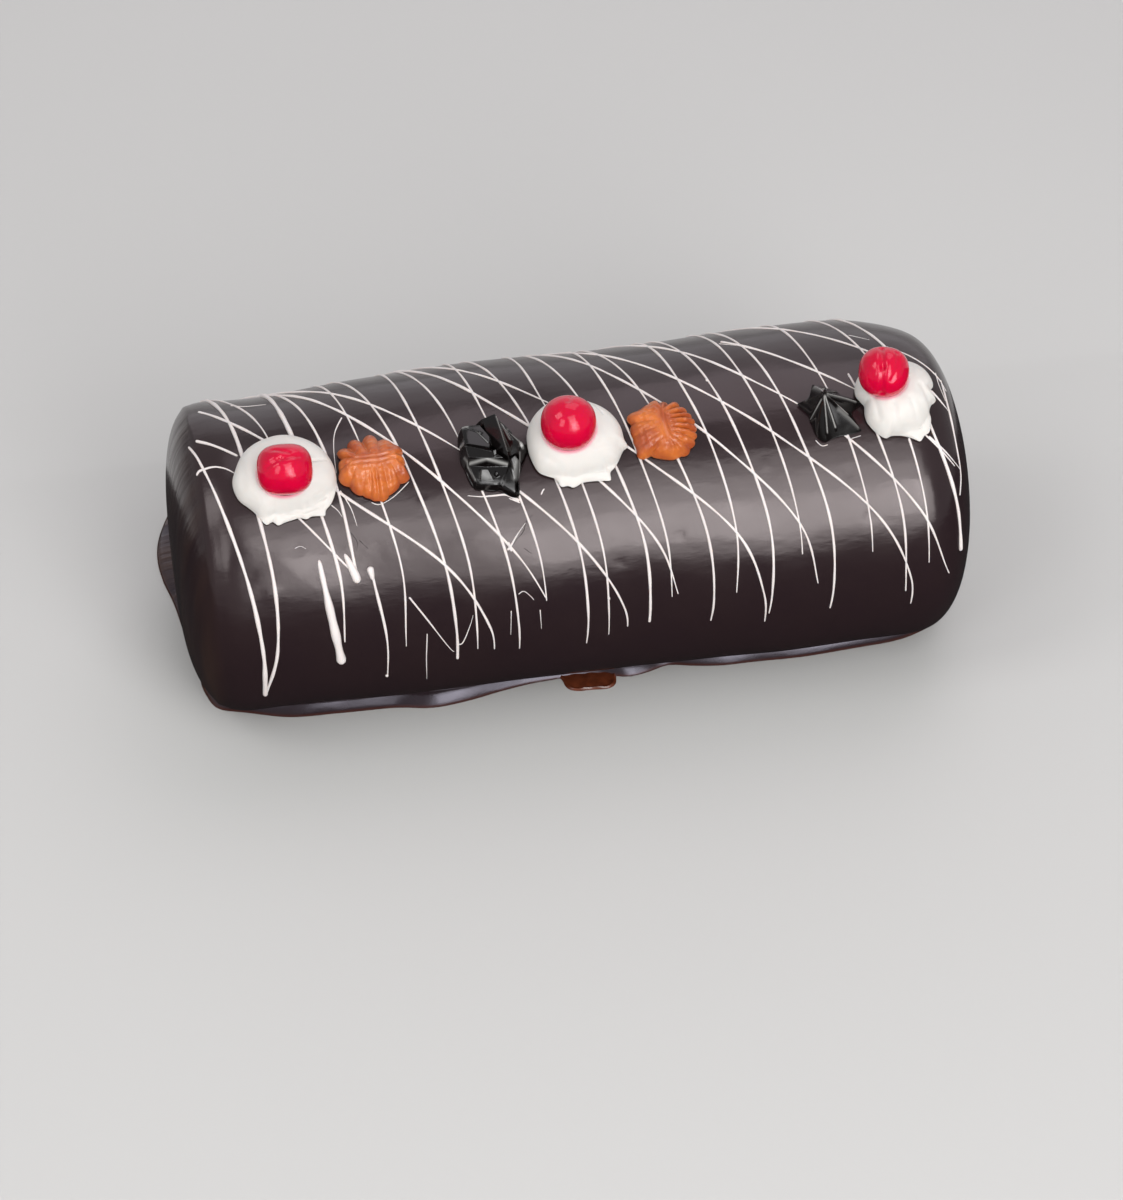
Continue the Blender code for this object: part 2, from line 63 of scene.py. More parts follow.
# The glazed log, as the solid has it
ROLL_RADIUS = 51.5
TAPER = 0.165                  # growth of the radius for each metre towards +X
AXIS_HEIGHT = 0.85 * ROLL_RADIUS
# Each end: its x, the length it is rounded over, and how squarely, where 2 is an ellipse
LEFT_TIP = -124
RIGHT_TIP = 128
LEFT_ROUND = 22
RIGHT_ROUND = 25
LEFT_POWER = 3.0
RIGHT_POWER = 2.7
# Waves of the log's skin over x and the turn round it
LOG_WAVES = ((0.3, (0.061, 2, 0)), (0.18, (0.097, -3, 1.3)))
# Hollows, and swellings below zero: x, angle, half length, half width in degrees, depth
HOLLOWS = (
    (-90, -42, 26, 40, 2.2),
    (-120, -25, 9, 35, -3.2),
    (-20, -45, 20, 30, -0.7),
    (36, -45, 14, 30, 0.6),
    (80, -45, 18, 30, -0.9),
    (113, -42, 12, 40, 3.4),
    (122, 40, 12, 60, -0.9),
    (-60, 62, 18, 16, 0.15),
    (70, 75, 25, 20, -0.2),
)
# Small dents (and crumbs under the glaze, below zero): x, angle, half size, depth
DENTS = (
    (-88, 48, 2.0, 0.18),
    (-104, 56, 3.0, 0.25),
    (-97, 63, 2.2, -0.2),
    (88, 60, 1.8, 0.3),
    (83, 45, 1.5, 0.25),
    (45, 95, 1.6, -0.25),
    (29, 59, 1.2, 0.25),
    (-48, 38, 1.2, -0.2),
    (58, 39, 1.5, -0.2),
    (10, 66, 2.0, 0.15),
)
# Unevenness of the poured glaze over x and the turn, as shares of its ripple
RIPPLES = (
    (1.0, (0.13, 3, 0), (-0.05, 5, 0)),
    (0.5, (0.19, -9, 2)),
    (0.35, (0.27, 14, 1), (0.07, 0, 1)),
    (0.12, (0.61, -26, 0), (0.17, 4, 0)),
)
# The low ridge where the glaze turns down over the left end
RIM_X = -114.4
RIM_WAVES = ((0.8, (2, 0.5)),)
RIM_HEIGHT = 0.6
RIM_WIDTH = 1.0
# The log tucks in above its foot, at the front: angle, half width in degrees, depth
TUCK = (138, 9, 2.7)
# Rings of the log's mesh, and those of them in each rounded end
LOG_RINGS = 224
END_RINGS = 26

# The set glaze round the base: where it ends, and how far it reaches beyond the log's sides
FOOT_FROM = -119.5
FOOT_TO = 125.5
FOOT_REACH = 3.2
FOOT_SQUARE = 0.33             # a power: 1 would make its outline an ellipse, 0 a rectangle
FOOT_FADE = 1.6                # how fast its front and back waves set in from the ends
FOOT_END_WAVES = ((0.9, (0.17, 1)), (0.4, (0.4, 0)))
FOOT_WAVES = ((0.3, (0.09, 1)), (0.18, (0.17, 2)))
FOOT_BACK_WAVES = ((1.3, (0.05, 2)), (0.6, (0.12, 0)))
FOOT_CORE = 0.76               # share of its outline that its inner edge keeps, under the log
FOOT_INNER = 0.5               # height of that inner edge
FOOT_SLOPE = 5.6               # how far in it has risen
FOOT_SLOPE_POWER = 1.7
FOOT_LEVEL = 0.95              # share of its height that it keeps to, within waves
FOOT_TOP_WAVES = ((0.06, (0.11, 1)),)
FOOT_LIP = (0.3, 0.15)         # its rounded edge: height, how far in it rises
# The upper of its two laps ends this far in, in a groove of this depth and half width
LAP = 1.9
LAP_WAVES = ((1.2, (0.075, 0.6)), (0.2, (0.21, 0)))
LAP_GROOVE = (0.3, 0.35)
FOOT_RING = 10                 # radius of the ring that is drawn out to it
EDGE_STEPS = 20001             # points at which the length of its edge is measured
# How much further out it ran at the front: x and the extra reach
FOOT_FRONT = (
    (-130, 0), (-119, 0), (-108, -0.8), (-93, 2.4), (-77, 1.7), (-60, 2.2), (-48, 4.3),
    (-36, 3.3), (-24, 1.0), (-12, -1.2), (0, -2.2), (8, -1.2), (16, 1.3), (23, 0.4), (30, -1.6),
    (38, 0.3), (48, 2.0), (62, 1.9), (90, 2.1), (106, 2.3), (116, 1.0), (126, 0), (130, 0),
)
# The thin patch that ran out through it: x and y of its middle, half sizes, how square it is
PATCH = (3.4, -29.4, 8.8, 6.4, 3.0)
PATCH_LEAN = 0.22              # how far its front edge is shifted to the right for each mm
PATCH_HEIGHT = 0.8
PATCH_ROUND = 8                # the higher, the closer to its edge it stays flat
PATCH_EDGE_WAVES = ((0.04, (5, 1)),)
PATCH_WAVES = ((0.12, (1.3, 0, 0), (0, 1.1, 1)),)
PATCH_RIM = (0.35, 0.93, 0.04)  # its raised rim: height, then share of the way out and half width

# The puddle behind the left end
PUDDLE_X = -105
PUDDLE_Y = 39
PUDDLE_HALF_X = 22.5
PUDDLE_HALF_Y = 45
PUDDLE_NARROWS = 0.45          # how much its right side narrows towards the back
PUDDLE_HUGS = 0.15             # how much its left side draws in towards the front
PUDDLE_SQUARE = 0.95
PUDDLE_EDGE_WAVES = ((0.035, (3, 1)), (0.02, (5, 0)))
PUDDLE_RIPPLES = ((0.5, (3, 1)), (0.4, (7, 0)))
PUDDLE_ROUND = 14              # the higher, the closer to its edge it stays flat
PUDDLE_FALL = 0.25             # share of its height that it falls from its middle to its edge

# Piped strands: x where each crosses these angles, as in the solid
CROSSINGS = (-30, 0, 30, 60, 85, 105)
# Where the strands end on the hidden back, raggedly, by waves over their numbers
BACK_STOP = -64
BACK_WAVES = ((8, (2.4, 0)),)
OVER = None                    # a strand's first angle, where it starts on the hidden back
DRIZZLE_FROM = LEFT_TIP + 7    # x between which the strands stay
DRIZZLE_TO = RIGHT_TIP - 4
ANGLE_STEP = 0.75              # degrees between two points of a strand's path
SHORTEST = 5                   # a stretch of no more points than this is left out
HIDDEN = 0.72                  # share of a topping's outline under which a strand stops
# A hand's unevenness over the distance along a strand and its number, as shares of its width
STRAND_WAVES = ((0.13, (0.23, 1, 0)), (0.09, (0.61, 2.3, 0)))
# Strands are thinner up the log's back: between these angles they grow from this share
BACK_ANGLES = (-10, 40)
BACK_THIN = 0.86
# A strand that ends finer than this thins over its last stretch, to half, by this power
FINE_END = 1.15
TAPERED = 24
TAPER_POWER = 1.5
# Distances from a strand's tip of the rings that round it, as shares of its radius
TIP_RINGS = (0.06, 0.25, 0.55, 1.0)
TIP_LEAST = 0.03               # least square of a tip's radius, as a share
# How far the middle of a strand, a thread and a crack stands off the glaze, in its radii
STRAND_LIFT = 0.15
THREAD_LIFT = 0.1
CRACK_LIFT = -0.5
CRACK_WIDTHS = (0.34, 0.26)
# x at the crossings, first angle, last angle, thickness at the start and at the end
STRANDS = (
    ((-124, -116, -109, -103.2, -101, -101.2), 1, 109, 1.0, 1.9),
    ((-106.5, -101.6, -98.6, -95.7, -96.6, -100.4), OVER, 109, 1.9, 1.2),
    ((-102.5, -92.8, -88), OVER, 20, 1.1, 1.0),
    ((-89.3, -85.2, -80.5, -75.7, -76), OVER, 85, 2.6, 1.0),
    ((-86.5, -78.2, -73.2, -70.6), OVER, 61, 1.1, 1.3),
    ((-72.2, -66.6, -61.6, -56.8, -57.2), OVER, 90, 1.1, 0.8),
    ((-65.8, -57.3, -50, -43.6, -41.6, -41.6), OVER, 99, 1.0, 1.2),
    ((-51.7, -47.4, -41.9, -36.4, -35.3, -35.3), OVER, 95, 1.2, 0.9),
    ((-45.4, -37.6, -31.2, -24.6, -22.4, -22.3), OVER, 97, 1.1, 1.0),
    ((-30.2, -26.1, -20.8, -14.7, -13.2), OVER, 77, 1.2, 0.9),
    ((-23, -15.4, -8.2, -2.2, -0.7, -1.4), OVER, 99, 1.0, 1.1),
    ((-11, -7.2, -0.8, 4.8, 5.8, 5.7), OVER, 96, 1.2, 0.8),
    ((-4.6, 3.4, 11, 17.8, 18.8, 17.6), OVER, 92, 1.0, 1.2),
    ((8.8, 13.6, 19.2, 24.8, 25.7), OVER, 82, 1.2, 0.8),
    ((13.5, 22.6, 30.3, 37.5, 38.7, 36.6), OVER, 95, 1.0, 1.1),
    ((31.5, 36.2, 42.3, 46.5, 45.7), OVER, 83, 1.4, 0.8),
    ((36.8, 44.8, 51.6, 57.1, 57, 55), OVER, 94, 1.0, 1.1),
    ((50, 55.9, 62, 66.3, 66.5), OVER, 71, 1.2, 0.8),
    ((55.5, 63.4, 69.8, 75.9, 76.5, 74.6), OVER, 95, 1.0, 1.1),
    ((73.9, 79.1, 84.2, 88.3, 88.7), OVER, 73, 1.2, 0.8),
    ((89.3, 96.6, 102.4, 106.1, 106.8), OVER, 80, 1.1, 0.8),
    ((80, 87.5, 93.2, 98.5, 99.5), 8, 91, 0.9, 1.0),
    ((96.8, 104.6, 110.4, 116.8, 118.4), OVER, 80, 1.1, 1.5),
    ((-120, -97.6, -73.5, -43.6, -31.3, -30), -18, 96, 1.3, 1.0),
    ((-86.7, -66, -42.5, -21, -10), OVER, 76, 1.5, 0.9),
    ((-81, -53.8, -25.5, -0.8, 10.9, 11), OVER, 93, 1.2, 1.0),
    ((-41.6, -23.2, 0.5, 21.6, 28.5), OVER, 81, 1.5, 0.9),
    ((-33, -9.4, 19.2, 46.2, 54.5, 55), OVER, 98, 1.1, 1.0),
    ((1.5, 20.5, 45.2, 66.4, 71.9), OVER, 83, 1.2, 0.9),
    ((10, 35.3, 64, 90.7, 101.1, 101.8), OVER, 98, 1.1, 0.9),
    ((29.5, 53.8, 82, 104.3, 113.2), OVER, 87, 1.2, 0.9),
    ((44, 74.3, 104.3, 127), -20, 47, 1.1, 0.9),
    ((71, 99.5, 122), OVER, 24, 1.0, 0.9),
    ((-150, -114.5, -83), 1, 12, 1.2, 1.2),
    ((-118, -118, -92, -70.8), 34, 60, 1.0, 1.1),
    ((-90, -88, -83.6, -80.9, -78.2, -76.2), 53, 94, 2.0, 4.0),
    ((-70, -69, -68, -65.9, -63.1, -63.3), 58, 104, 1.2, 0.9),
)
# Threads, splashes and tails of the same piping, and pale lines under three toppings: points of x
# and angle, then the thickness at the start and at the end
THREADS = (
    (((-114.6, 16.2), (-113.3, 15.1), (-109.2, 15.1), (-105.8, 16.7), (-103.3, 19)), 1.2, 0.9),
    (((-100.8, -22.7), (-96.7, -19.5), (-90, -18.5)), 0.7, 0.5),
    (((-73.6, 52), (-71.4, 58.6), (-70.4, 62.6)), 1.5, 4.2),
    (((-66.5, 57.4), (-65.8, 62.5)), 3.0, 1.5),
    (((-63.5, 103.6), (-63.5, 105)), 1.7, 1.4),
    (((-50.7, 85.3), (-51.2, 97), (-51, 109.9)), 0.5, 0.4),
    (((-55.4, 70), (-50, 80.2), (-43.8, 93.2), (-42.5, 95)), 0.7, 0.6),
    (((-41.7, 91), (-40, 91.3), (-37.5, 83.9), (-36.3, 79.3)), 0.6, 0.4),
    (((-68.3, 0), (-71.3, 7), (-72.5, 14.4), (-72.9, 23.6)), 0.6, 0.5),
    (((-75.8, 34.8), (-74, 37), (-72.9, 39.4)), 0.7, 0.5),
    (((-72.5, 30.1), (-70, 36.6), (-68.8, 43.1)), 0.9, 0.5),
    (((-88.3, 48.2), (-86.6, 47.6), (-85, 48.7)), 0.4, 0.4),
    (((-22.1, 73.2), (-20.4, 72.3), (-18.3, 74.6), (-17.5, 76)), 0.5, 0.5),
    (((-12.1, 39.9), (-11.4, 38.6), (-10.8, 38)), 1.2, 0.9),
    (((-15.7, 80.2), (-15.4, 88.5)), 0.5, 0.4),
    (((-24.6, 79.3), (-25, 89.5)), 0.5, 0.4),
    (((-24.4, 57.2), (-23.3, 56.1), (-21, 52.6), (-17.9, 48.7)), 1.3, 0.4),
    (((-23.9, 54.5), (-23.1, 57.8)), 1.2, 1.2),
    (((5.7, 78.6), (5.9, 80)), 1.5, 1.3),
    (((45.2, 2.6), (45.6, 3.8)), 1.5, 1.4),
    (((89, 9.2), (89.6, 9.9)), 0.9, 0.8),
    (((53.3, -18.5), (58.3, -15.3)), 0.6, 0.5),
    (((94.2, -14.4), (100, -9.7)), 0.5, 0.4),
    (((104.2, -4.2), (110.8, 2.3), (117.5, 9.7), (120, 15.3)), 0.6, 0.8),
    (((118.8, 10.7), (118.8, 22.7), (119.2, 38.5), (119.6, 49.6), (118.3, 57.9)), 0.9, 0.9),
    (((117.6, 8), (117.4, 14), (118.4, 21)), 0.6, 0.5),
    (((109.6, 35.7), (114.6, 41.5), (120, 48.7)), 0.9, 0.6),
    (((113.8, 18.1), (118.8, 25.5)), 0.8, 0.6),
    # pale lines along the lower edges of caramel_1, dark_1 and dark_2, where the glaze is pressed up
    # against them
    (((-63.6, 35.5), (-61.4, 36.6), (-57.8, 35.2), (-54.6, 32.8), (-51.4, 29.8)), 0.4, 0.8),
    (((-34.4, 37.2), (-30.5, 38.1), (-26.5, 38.3), (-22.4, 38.6), (-18.9, 41.2)), 0.35, 1.2),
    (((-22, 39.8), (-18.8, 41.8)), 0.8, 1.0),
    (((74.4, 32.4), (76, 34.6), (78, 34.5)), 0.6, 0.8),
    (((85.5, 33.4), (88.6, 32.8)), 0.5, 0.5),
)
# Fine cracks in the set glaze: points of x and angle
CRACKS = (
    ((-17.9, 48.7), (-18.9, 51.6), (-21.2, 54), (-22.3, 55.6)),
    ((-17.9, 48.7), (-15.5, 46.3)),
    ((-19.2, 57.2), (-17.1, 59.4)),
    ((-71, 45), (-69.4, 48.4), (-69.9, 51.6)),
    ((-68.6, 48), (-66.2, 51.4)),
)

# Toppings: x and angle of the middle of the base, then half sizes, which for a cream are
# along the log, up the slope and down it
CREAMS = {
    "cream_1": (-88.9, 23.8, 15.4, 14.9, 15.6),
    "cream_2": (1.1, 22.7, 15.3, 15.2, 16.2),
    "cream_3": (101.9, 22.9, 12.4, 14.8, 15.8),
}
# Each cherry's cream, its radius, how far it sits off the cream's middle along and up the
# slope, and the height of its centre
CHERRIES = {
    "cherry_1": ("cream_1", 8.4, -0.1, -2.7, 13),
    "cherry_2": ("cream_2", 8.5, -3.3, 0.1, 13),
    "cherry_3": ("cream_3", 7.75, -5.3, 5.0, 12.9),
}
# How square each cherry is, where 2 is round, and how much lower than wide
CHERRY_SQUARE = {"cherry_1": (2.7, 1.09), "cherry_2": (2.15, 1.01), "cherry_3": (2.3, 1.0)}
# Grooves of each cherry, seen from the front and above: the two ends of the groove on the
# cherry as shares of its radius (right, up, towards the eye), half width and depth in mm
GROOVES = {
    "cherry_1": (
        ((-0.62, 0.1, 0.75), (-0.1, 0.42, 0.9), 0.7, 0.4),
        ((-0.1, 0.42, 0.9), (0.55, 0.45, 0.75), 0.8, 0.45),
        ((-0.35, 0.75, 0.6), (0.2, 0.62, 0.75), 0.8, 0.35),
    ),
    "cherry_2": (((0.1, 0.95, 0.2), (0.0, 0.8, 0.6), 1.0, 0.4),),
    "cherry_3": (
        ((-0.15, 0.9, 0.35), (-0.05, 0.2, 0.98), 0.9, 0.8),
        ((-0.05, 0.2, 0.98), (0.0, -0.85, 0.5), 0.9, 0.6),
        ((0.45, 0.75, 0.45), (0.35, -0.3, 0.9), 0.7, 0.35),
    ),
}
STARS = {
    "caramel_1": (-61.8, 23.2, 9.9),
    "caramel_2": (28.1, 22.3, 9.8),
    "dark_1": (-26.3, 23.6, 9.8),
    "dark_2": (78.9, 22.0, 9.1),
}
# Outline of each cream: turn round its middle in degrees from +X, and how far it reaches
CREAM_EDGES = {
    "cream_1": (
        (-180, 15.6), (-160, 15.4), (-146, 14.4), (-136, 14.2), (-126, 14.8), (-117, 15.6),
        (-111, 14.2), (-104, 14.9), (-97, 14.0), (-89, 13.5), (-77, 13.4), (-69, 14.6),
        (-63, 14.6), (-56, 15.8), (-51, 17.1), (-46, 16.2), (-36, 16.4), (-20, 16.1), (-3, 15.8),
        (10, 15.5), (27, 15.1), (58, 14.6), (83, 14.9), (108, 14.6), (134, 14.8), (161, 14.8),
    ),
    "cream_2": (
        (-180, 15.3), (-162, 15.6), (-146, 16.0), (-137, 15.3), (-128, 14.5), (-122, 14.8),
        (-116, 15.9), (-109, 15.1), (-102, 15.3), (-91, 13.9), (-78, 14.1), (-67, 15.2),
        (-59, 16.4), (-54, 14.6), (-44, 14.6), (-31, 14.4), (-22, 14.7), (-16, 15.8), (-9, 14.6),
        (8, 14.2), (37, 13.6), (63, 13.3), (89, 15.0), (109, 15.3), (128, 15.2), (150, 15.2),
        (170, 15.3),
    ),
    "cream_3": (
        (-179, 10.9), (-170, 11.3), (-156, 12.2), (-139, 12.6), (-128, 12.8), (-118, 12.8),
        (-112, 11.7), (-104, 11.2), (-94, 11.2), (-83, 12.0), (-76, 13.2), (-71, 14.2),
        (-63, 13.4), (-55, 13.5), (-46, 12.4), (-37, 11.4), (-27, 10.1), (-15, 10.2), (-8, 11.5),
        (-4, 11.7), (1, 10.5), (9, 10.2), (14, 11.2), (18, 12.5), (26, 13.2), (43, 14.3),
        (63, 15.0), (90, 14.8), (124, 15.0), (145, 14.4), (163, 13.4), (172, 12.0),
    ),
}
CALMED = 26                    # degrees over which a cream's ragged edge evens out inland
CALM_POWER = 6
# Height of each cream, the turns between which its lower fold shows, and that fold's width
CREAM_FORMS = {
    "cream_1": (9.6, -118, -28, 0.17),
    "cream_2": (9.8, -125, -48, 0.15),
    "cream_3": (9.4, -88, -35, 0.16),
}
FOLD_SOFT = 5                  # degrees over which the fold comes in
MOUND_POWER = 2.7
MOUND_ROOT = 0.55
SKIRT_HEIGHT = 2.3             # the low rim under the mound
SKIRT_POWER = 5
SKIRT_JOIN = 0.5               # how softly the mound comes out of it
# Swells of a cream's skin, the folds wound out by the nozzle and the waves of its skirt, over
# the turn, the share of the way out, the cream's number, x and y
CREAM_SWELLS = ((0.28, (3, 5, 1, 0)), (0.1, (0, 0, 0, 0.9, 1.1, 0)))
CREAM_FOLDS = ((0.15, (-2, 16, 1, 0), (1.5, 0, 0.7, 0), (1.5, 0, 0.7, 0)),)
SKIRT_WAVES = ((0.1, (9, 0, 1, 0)),)
WELLED = (0.5, 0.9)            # the cream wells up round its cherry: height, half width
# Creases left where the nozzle passed: two ends as x and y in mm, half width, depth
CREAM_CREASES = {
    "cream_1": (
        ((8.0, 0.6), (13.6, 2.2), 0.35, 0.8),
        ((0.6, -10.6), (5.6, -10.4), 0.45, 0.5),
        ((5.6, -10.4), (11.6, -8.2), 0.45, 0.6),
        ((-1.0, -12.0), (5.0, -12.0), 0.4, 0.45),
        ((5.0, -12.0), (10.6, -10.4), 0.4, 0.5),
        ((-12.4, 5.0), (-12.6, -3.6), 1.2, 0.35),
        ((-10.0, -9.5), (-6.5, -12.0), 0.8, 0.4),
    ),
    "cream_2": (
        ((2.6, -11.6), (9.6, -11.0), 0.45, 0.7),
        ((6.0, 9.6), (8.2, 4.4), 0.5, 0.5),
        ((-12.0, -6.0), (-6.0, -11.0), 0.9, 0.45),
        ((4.0, -6.0), (12.0, -5.0), 1.4, 0.45),
    ),
    "cream_3": (
        ((-1.0, -10.2), (5.2, -9.6), 0.4, 0.7),
        ((-8.8, -0.5), (-8.0, -7.0), 0.8, 0.5),
        ((6.2, 1.2), (9.0, -5.0), 0.9, 0.6),
        ((-3.5, -4.0), (-3.0, -9.5), 0.9, 0.4),
        ((2.0, -3.5), (3.4, -8.5), 0.9, 0.4),
    ),
}
# Lobes of each ridged star: turn and reach of each lobe's tip, and of the valley after it the
# share it cuts into the outline and its depth in mm
STAR_LOBES = {
    "caramel_1": (
        (1, 10.0, 0.10, 0.7), (24, 10.6, 0.04, 0.3), (56, 10.0, 0.14, 1.2), (87, 11.0, 0.20, 1.7),
        (119, 11.0, 0.14, 1.3), (149, 11.6, 0.15, 0.7), (171, 10.3, 0.05, 0.3),
        (199, 11.2, 0.10, 0.5), (236, 10.4, 0.05, 0.3), (254, 10.4, 0.02, 0.9),
        (266, 11.2, 0.02, 1.1), (279, 11.7, 0.05, 0.8), (303, 10.6, 0.10, 0.4),
        (333, 11.9, 0.20, 1.0),
    ),
    "caramel_2": (
        (7, 10.2, 0.06, 1.4), (20, 10.0, 0.06, 1.4), (35, 9.9, 0.09, 1.2), (55, 10.2, 0.15, 1.0),
        (78, 9.1, 0.08, 0.8), (98, 10.0, 0.03, 0.3), (125, 9.4, 0.04, 0.4), (153, 11.6, 0.11, 0.6),
        (180, 10.2, 0.05, 0.4), (206, 10.7, 0.02, 0.3), (224, 12.6, 0.13, 0.8),
        (252, 10.0, 0.01, 0.3), (283, 10.6, 0.04, 0.6), (303, 11.3, 0.06, 0.9),
        (323, 11.0, 0.06, 1.3), (338, 10.7, 0.06, 1.4), (352, 10.4, 0.06, 1.4),
    ),
    "dark_2": (
        (2, 12.0, 0.16, 0.5), (49, 8.0, 0.10, 1.0), (101, 9.6, 0.30, 1.6), (160, 8.6, 0.24, 0.8),
        (215, 6.4, 0.02, 0.3), (262, 10.9, 0.16, 0.9), (320, 13.2, 0.30, 1.5),
    ),
}
# Crest of each caramel star, as a line: its half length and half width, and its middle
STAR_CRESTS = {
    "caramel_1": ((5.5, 0.4), (0.4, 0.6)),
    "caramel_2": ((0.4, 4.6), (-0.4, -0.4)),
}
# Folds along the crest: their spacing, how far they spread and their height
CREST_FOLDS = {"caramel_1": (1.7, 2.6, 0.2), "caramel_2": (2.4, 1.5, 0.3)}
CREST_LENGTH = 7.5
# How far a crest leans aside for each mm along it, and bends for each mm squared
CREST_BENDS = {"caramel_1": (0.05, 0.01), "caramel_2": (0, 0.02)}
CREST_SWAY = (0.5, 0.5)        # sway of its folds in radians, and how fast for each mm
CARAMEL_HEIGHT = 5.2
CARAMEL_POWER = 2.2
CARAMEL_ROOT = 0.6
# Its valleys deepen from this share of the way out, over this much more of it
CARAMEL_VALLEYS = (0.1, 0.5)
CARAMEL_CALM = 0.35            # share of its waves that is left at the crest
CARAMEL_WAVES = (
    (0.25, (0.5, 0, 1), (0, 0.6, 0)),
    (0.16, (1.7, 1.1, 1), (-0.8, 1.3, 0)),
    (0.12, (2.6, -1.9, 2), (1.1, 2.4, 0)),
)
# Ridges that run down the pleated star from its peak: x and y of each one's end
PLEATS = ((-5.2, -2.8), (-1.2, -8.8), (1.8, -7.8), (6.6, -3.8), (9.4, -7.9), (10.6, 0.2), (5.6, 5.6))
PLEAT = (0.55, 0.34)           # height and half width of such a ridge
PEAK = (-1.4, 0.6)
PEAK_HEIGHT = 9.6
PEAK_POWER = 0.9               # how its skin falls from the peak: 1 would be a straight cone
# How its valleys set in from the peak and run out at the edge, as powers
PLEAT_POWERS = (0.6, 0.35)
# Painted highlights and reflections on the dark stars, as pale lines and patches along their ridges
# and facets: two ends, half width, strength
PAINTED_HIGHLIGHTS = {
    "dark_1": (
        ((-6.4, -3.9), (-1.4, -4.2), 0.2, 0.75),
        ((-1.4, -4.2), (4.9, -5.5), 0.2, 0.9),
        ((-7.8, -1.6), (-5.4, -9.0), 0.2, 0.4),
        ((-7.0, 7.6), (-5.4, 7.4), 0.25, 0.6),
        ((-3.0, 5.0), (-0.4, 0.4), 0.2, 0.25),
        ((3.1, 7.4), (5.2, -2.6), 0.2, 0.4),
        ((4.6, 6.0), (6.6, 1.6), 0.3, 0.3),
        ((6.2, 4.6), (9.2, 1.2), 0.2, 0.35),
        ((9.8, 1.0), (10.4, 0.0), 0.45, 0.75),
        ((7.6, -5.2), (6.6, -9.4), 0.8, 0.3),
        ((9.4, -1.6), (8.0, -9.6), 0.2, 0.3),
        ((-2.6, -8.0), (-1.6, -8.8), 1.1, 0.25),
    ),
    "dark_2": (
        ((-2.2, -0.6), (-5.0, -3.0), 0.2, 0.5),
        ((-1.4, -0.4), (-1.0, -8.6), 0.22, 0.8),
        ((-1.0, -0.4), (1.7, -7.4), 0.22, 0.85),
        ((-0.4, 0.0), (6.2, -3.8), 0.25, 0.8),
        ((-0.2, 0.6), (9.6, 0.4), 0.25, 0.55),
        ((3.0, -3.4), (9.0, -7.6), 0.5, 0.35),
        ((-0.8, 1.4), (5.2, 5.4), 0.2, 0.4),
        ((-1.6, 7.2), (-0.9, 2.8), 0.75, 0.75),
        ((-5.8, 2.2), (-3.4, 2.6), 0.3, 0.2),
    ),
}
# Outline of the broken star, as turn and reach
BROKEN_EDGE = (
    (-170, 8.8), (-150, 9.0), (-132, 10.6), (-118, 12.0), (-104, 11.8), (-90, 12.0), (-80, 12.5),
    (-65, 16.2), (-55, 14.0), (-48, 12.2), (-30, 11.2), (-12, 11.6), (4, 12.6), (16, 10.4),
    (42, 9.4), (62, 9.8), (74, 10.6), (92, 11.0), (108, 10.4), (124, 11.6), (136, 11.2),
    (148, 10.0), (166, 8.6),
)
# Its broken plates: corners as x and y, height of the middle, and the way and slope it falls
BROKEN_PLATES = (
    (((-7.4, 8.1), (-7.3, 1.2), (-0.2, -1.3), (0.4, 2.6), (-1.7, 7.5)), 6.7, 96, 0.17),
    (((-7.3, 1.2), (-6.7, -3.8), (-1.4, -4.2), (5.0, -5.6), (-0.2, -1.3)), 6.1, 250, 0.04),
    (((-1.0, 8.8), (0.6, 1.0), (5.3, -4.8), (2.9, 8.4)), 7.4, 209, 1.16),
    (((-8.4, -1.0), (-5.6, -9.6), (-4.6, -10.0), (-6.6, -2.0)), 1.9, 200, 0.3),
    (((-6.6, -4.2), (-5.2, -10.2), (2.2, -11.4), (5.6, -5.4)), 2.7, 80, 0.05),
    (((1.0, -11.2), (6.4, -14.4), (6.7, -8.0), (5.6, -5.4)), 2.3, 60, 0.05),
    (((-3.3, -6.6), (-4.3, -10.4), (0.0, -9.6), (-1.2, -6.9)), 3.5, 268, 0.5),
    (((0.6, -8.2), (1.0, -8.9), (1.7, -8.3), (1.2, -7.6)), 3.6, 260, 0.55),
    (((0.7, -2.2), (0.9, -3.6), (1.7, -3.4), (1.7, -2.0)), 6.9, 268, 0.5),
    (((3.1, 7.8), (5.3, -3.6), (7.4, 0.4), (6.2, 5.4)), 6.6, 335, 0.7),
    (((4.2, 8.0), (5.4, 4.6), (7.8, 3.4), (7.2, 6.2)), 6.0, 285, 0.4),
    (((5.4, -3.6), (8.6, -2.2), (9.6, 1.4), (7.0, 3.6)), 4.6, 300, 0.34),
    (((5.5, -4.8), (6.4, -10.6), (8.2, -9.0), (9.0, -5.6), (7.6, -3.4)), 3.4, 283, 0.36),
    (((8.2, -10.2), (12.2, -0.5), (12.0, 1.4), (9.4, 1.0)), 2.2, 20, 0.35),
    (((9.4, 0.6), (10.0, -0.6), (11.0, 0.4), (10.4, 1.6)), 3.2, 270, 0.5),
)
PLATE_WALL = 3.5               # slope of a plate's sides
PLATE_BED = 0.5                # height of the chocolate between the plates
PLATE_ROUND = 16               # the higher, the closer to the star's edge they stay full
# Folds pressed into the plates: two ends, half width, depth
PLATE_FOLDS = (
    ((-6.8, 7.4), (-3.0, 5.0), 0.28, 0.22),
    ((-3.0, 5.0), (-0.4, 0.4), 0.28, 0.22),
    ((-5.8, 7.6), (-1.4, 4.2), 0.25, -0.15),
    ((3.6, 6.4), (5.8, -1.4), 0.22, -0.3),
    ((4.6, 6.0), (7.2, 1.6), 0.22, 0.3),
)

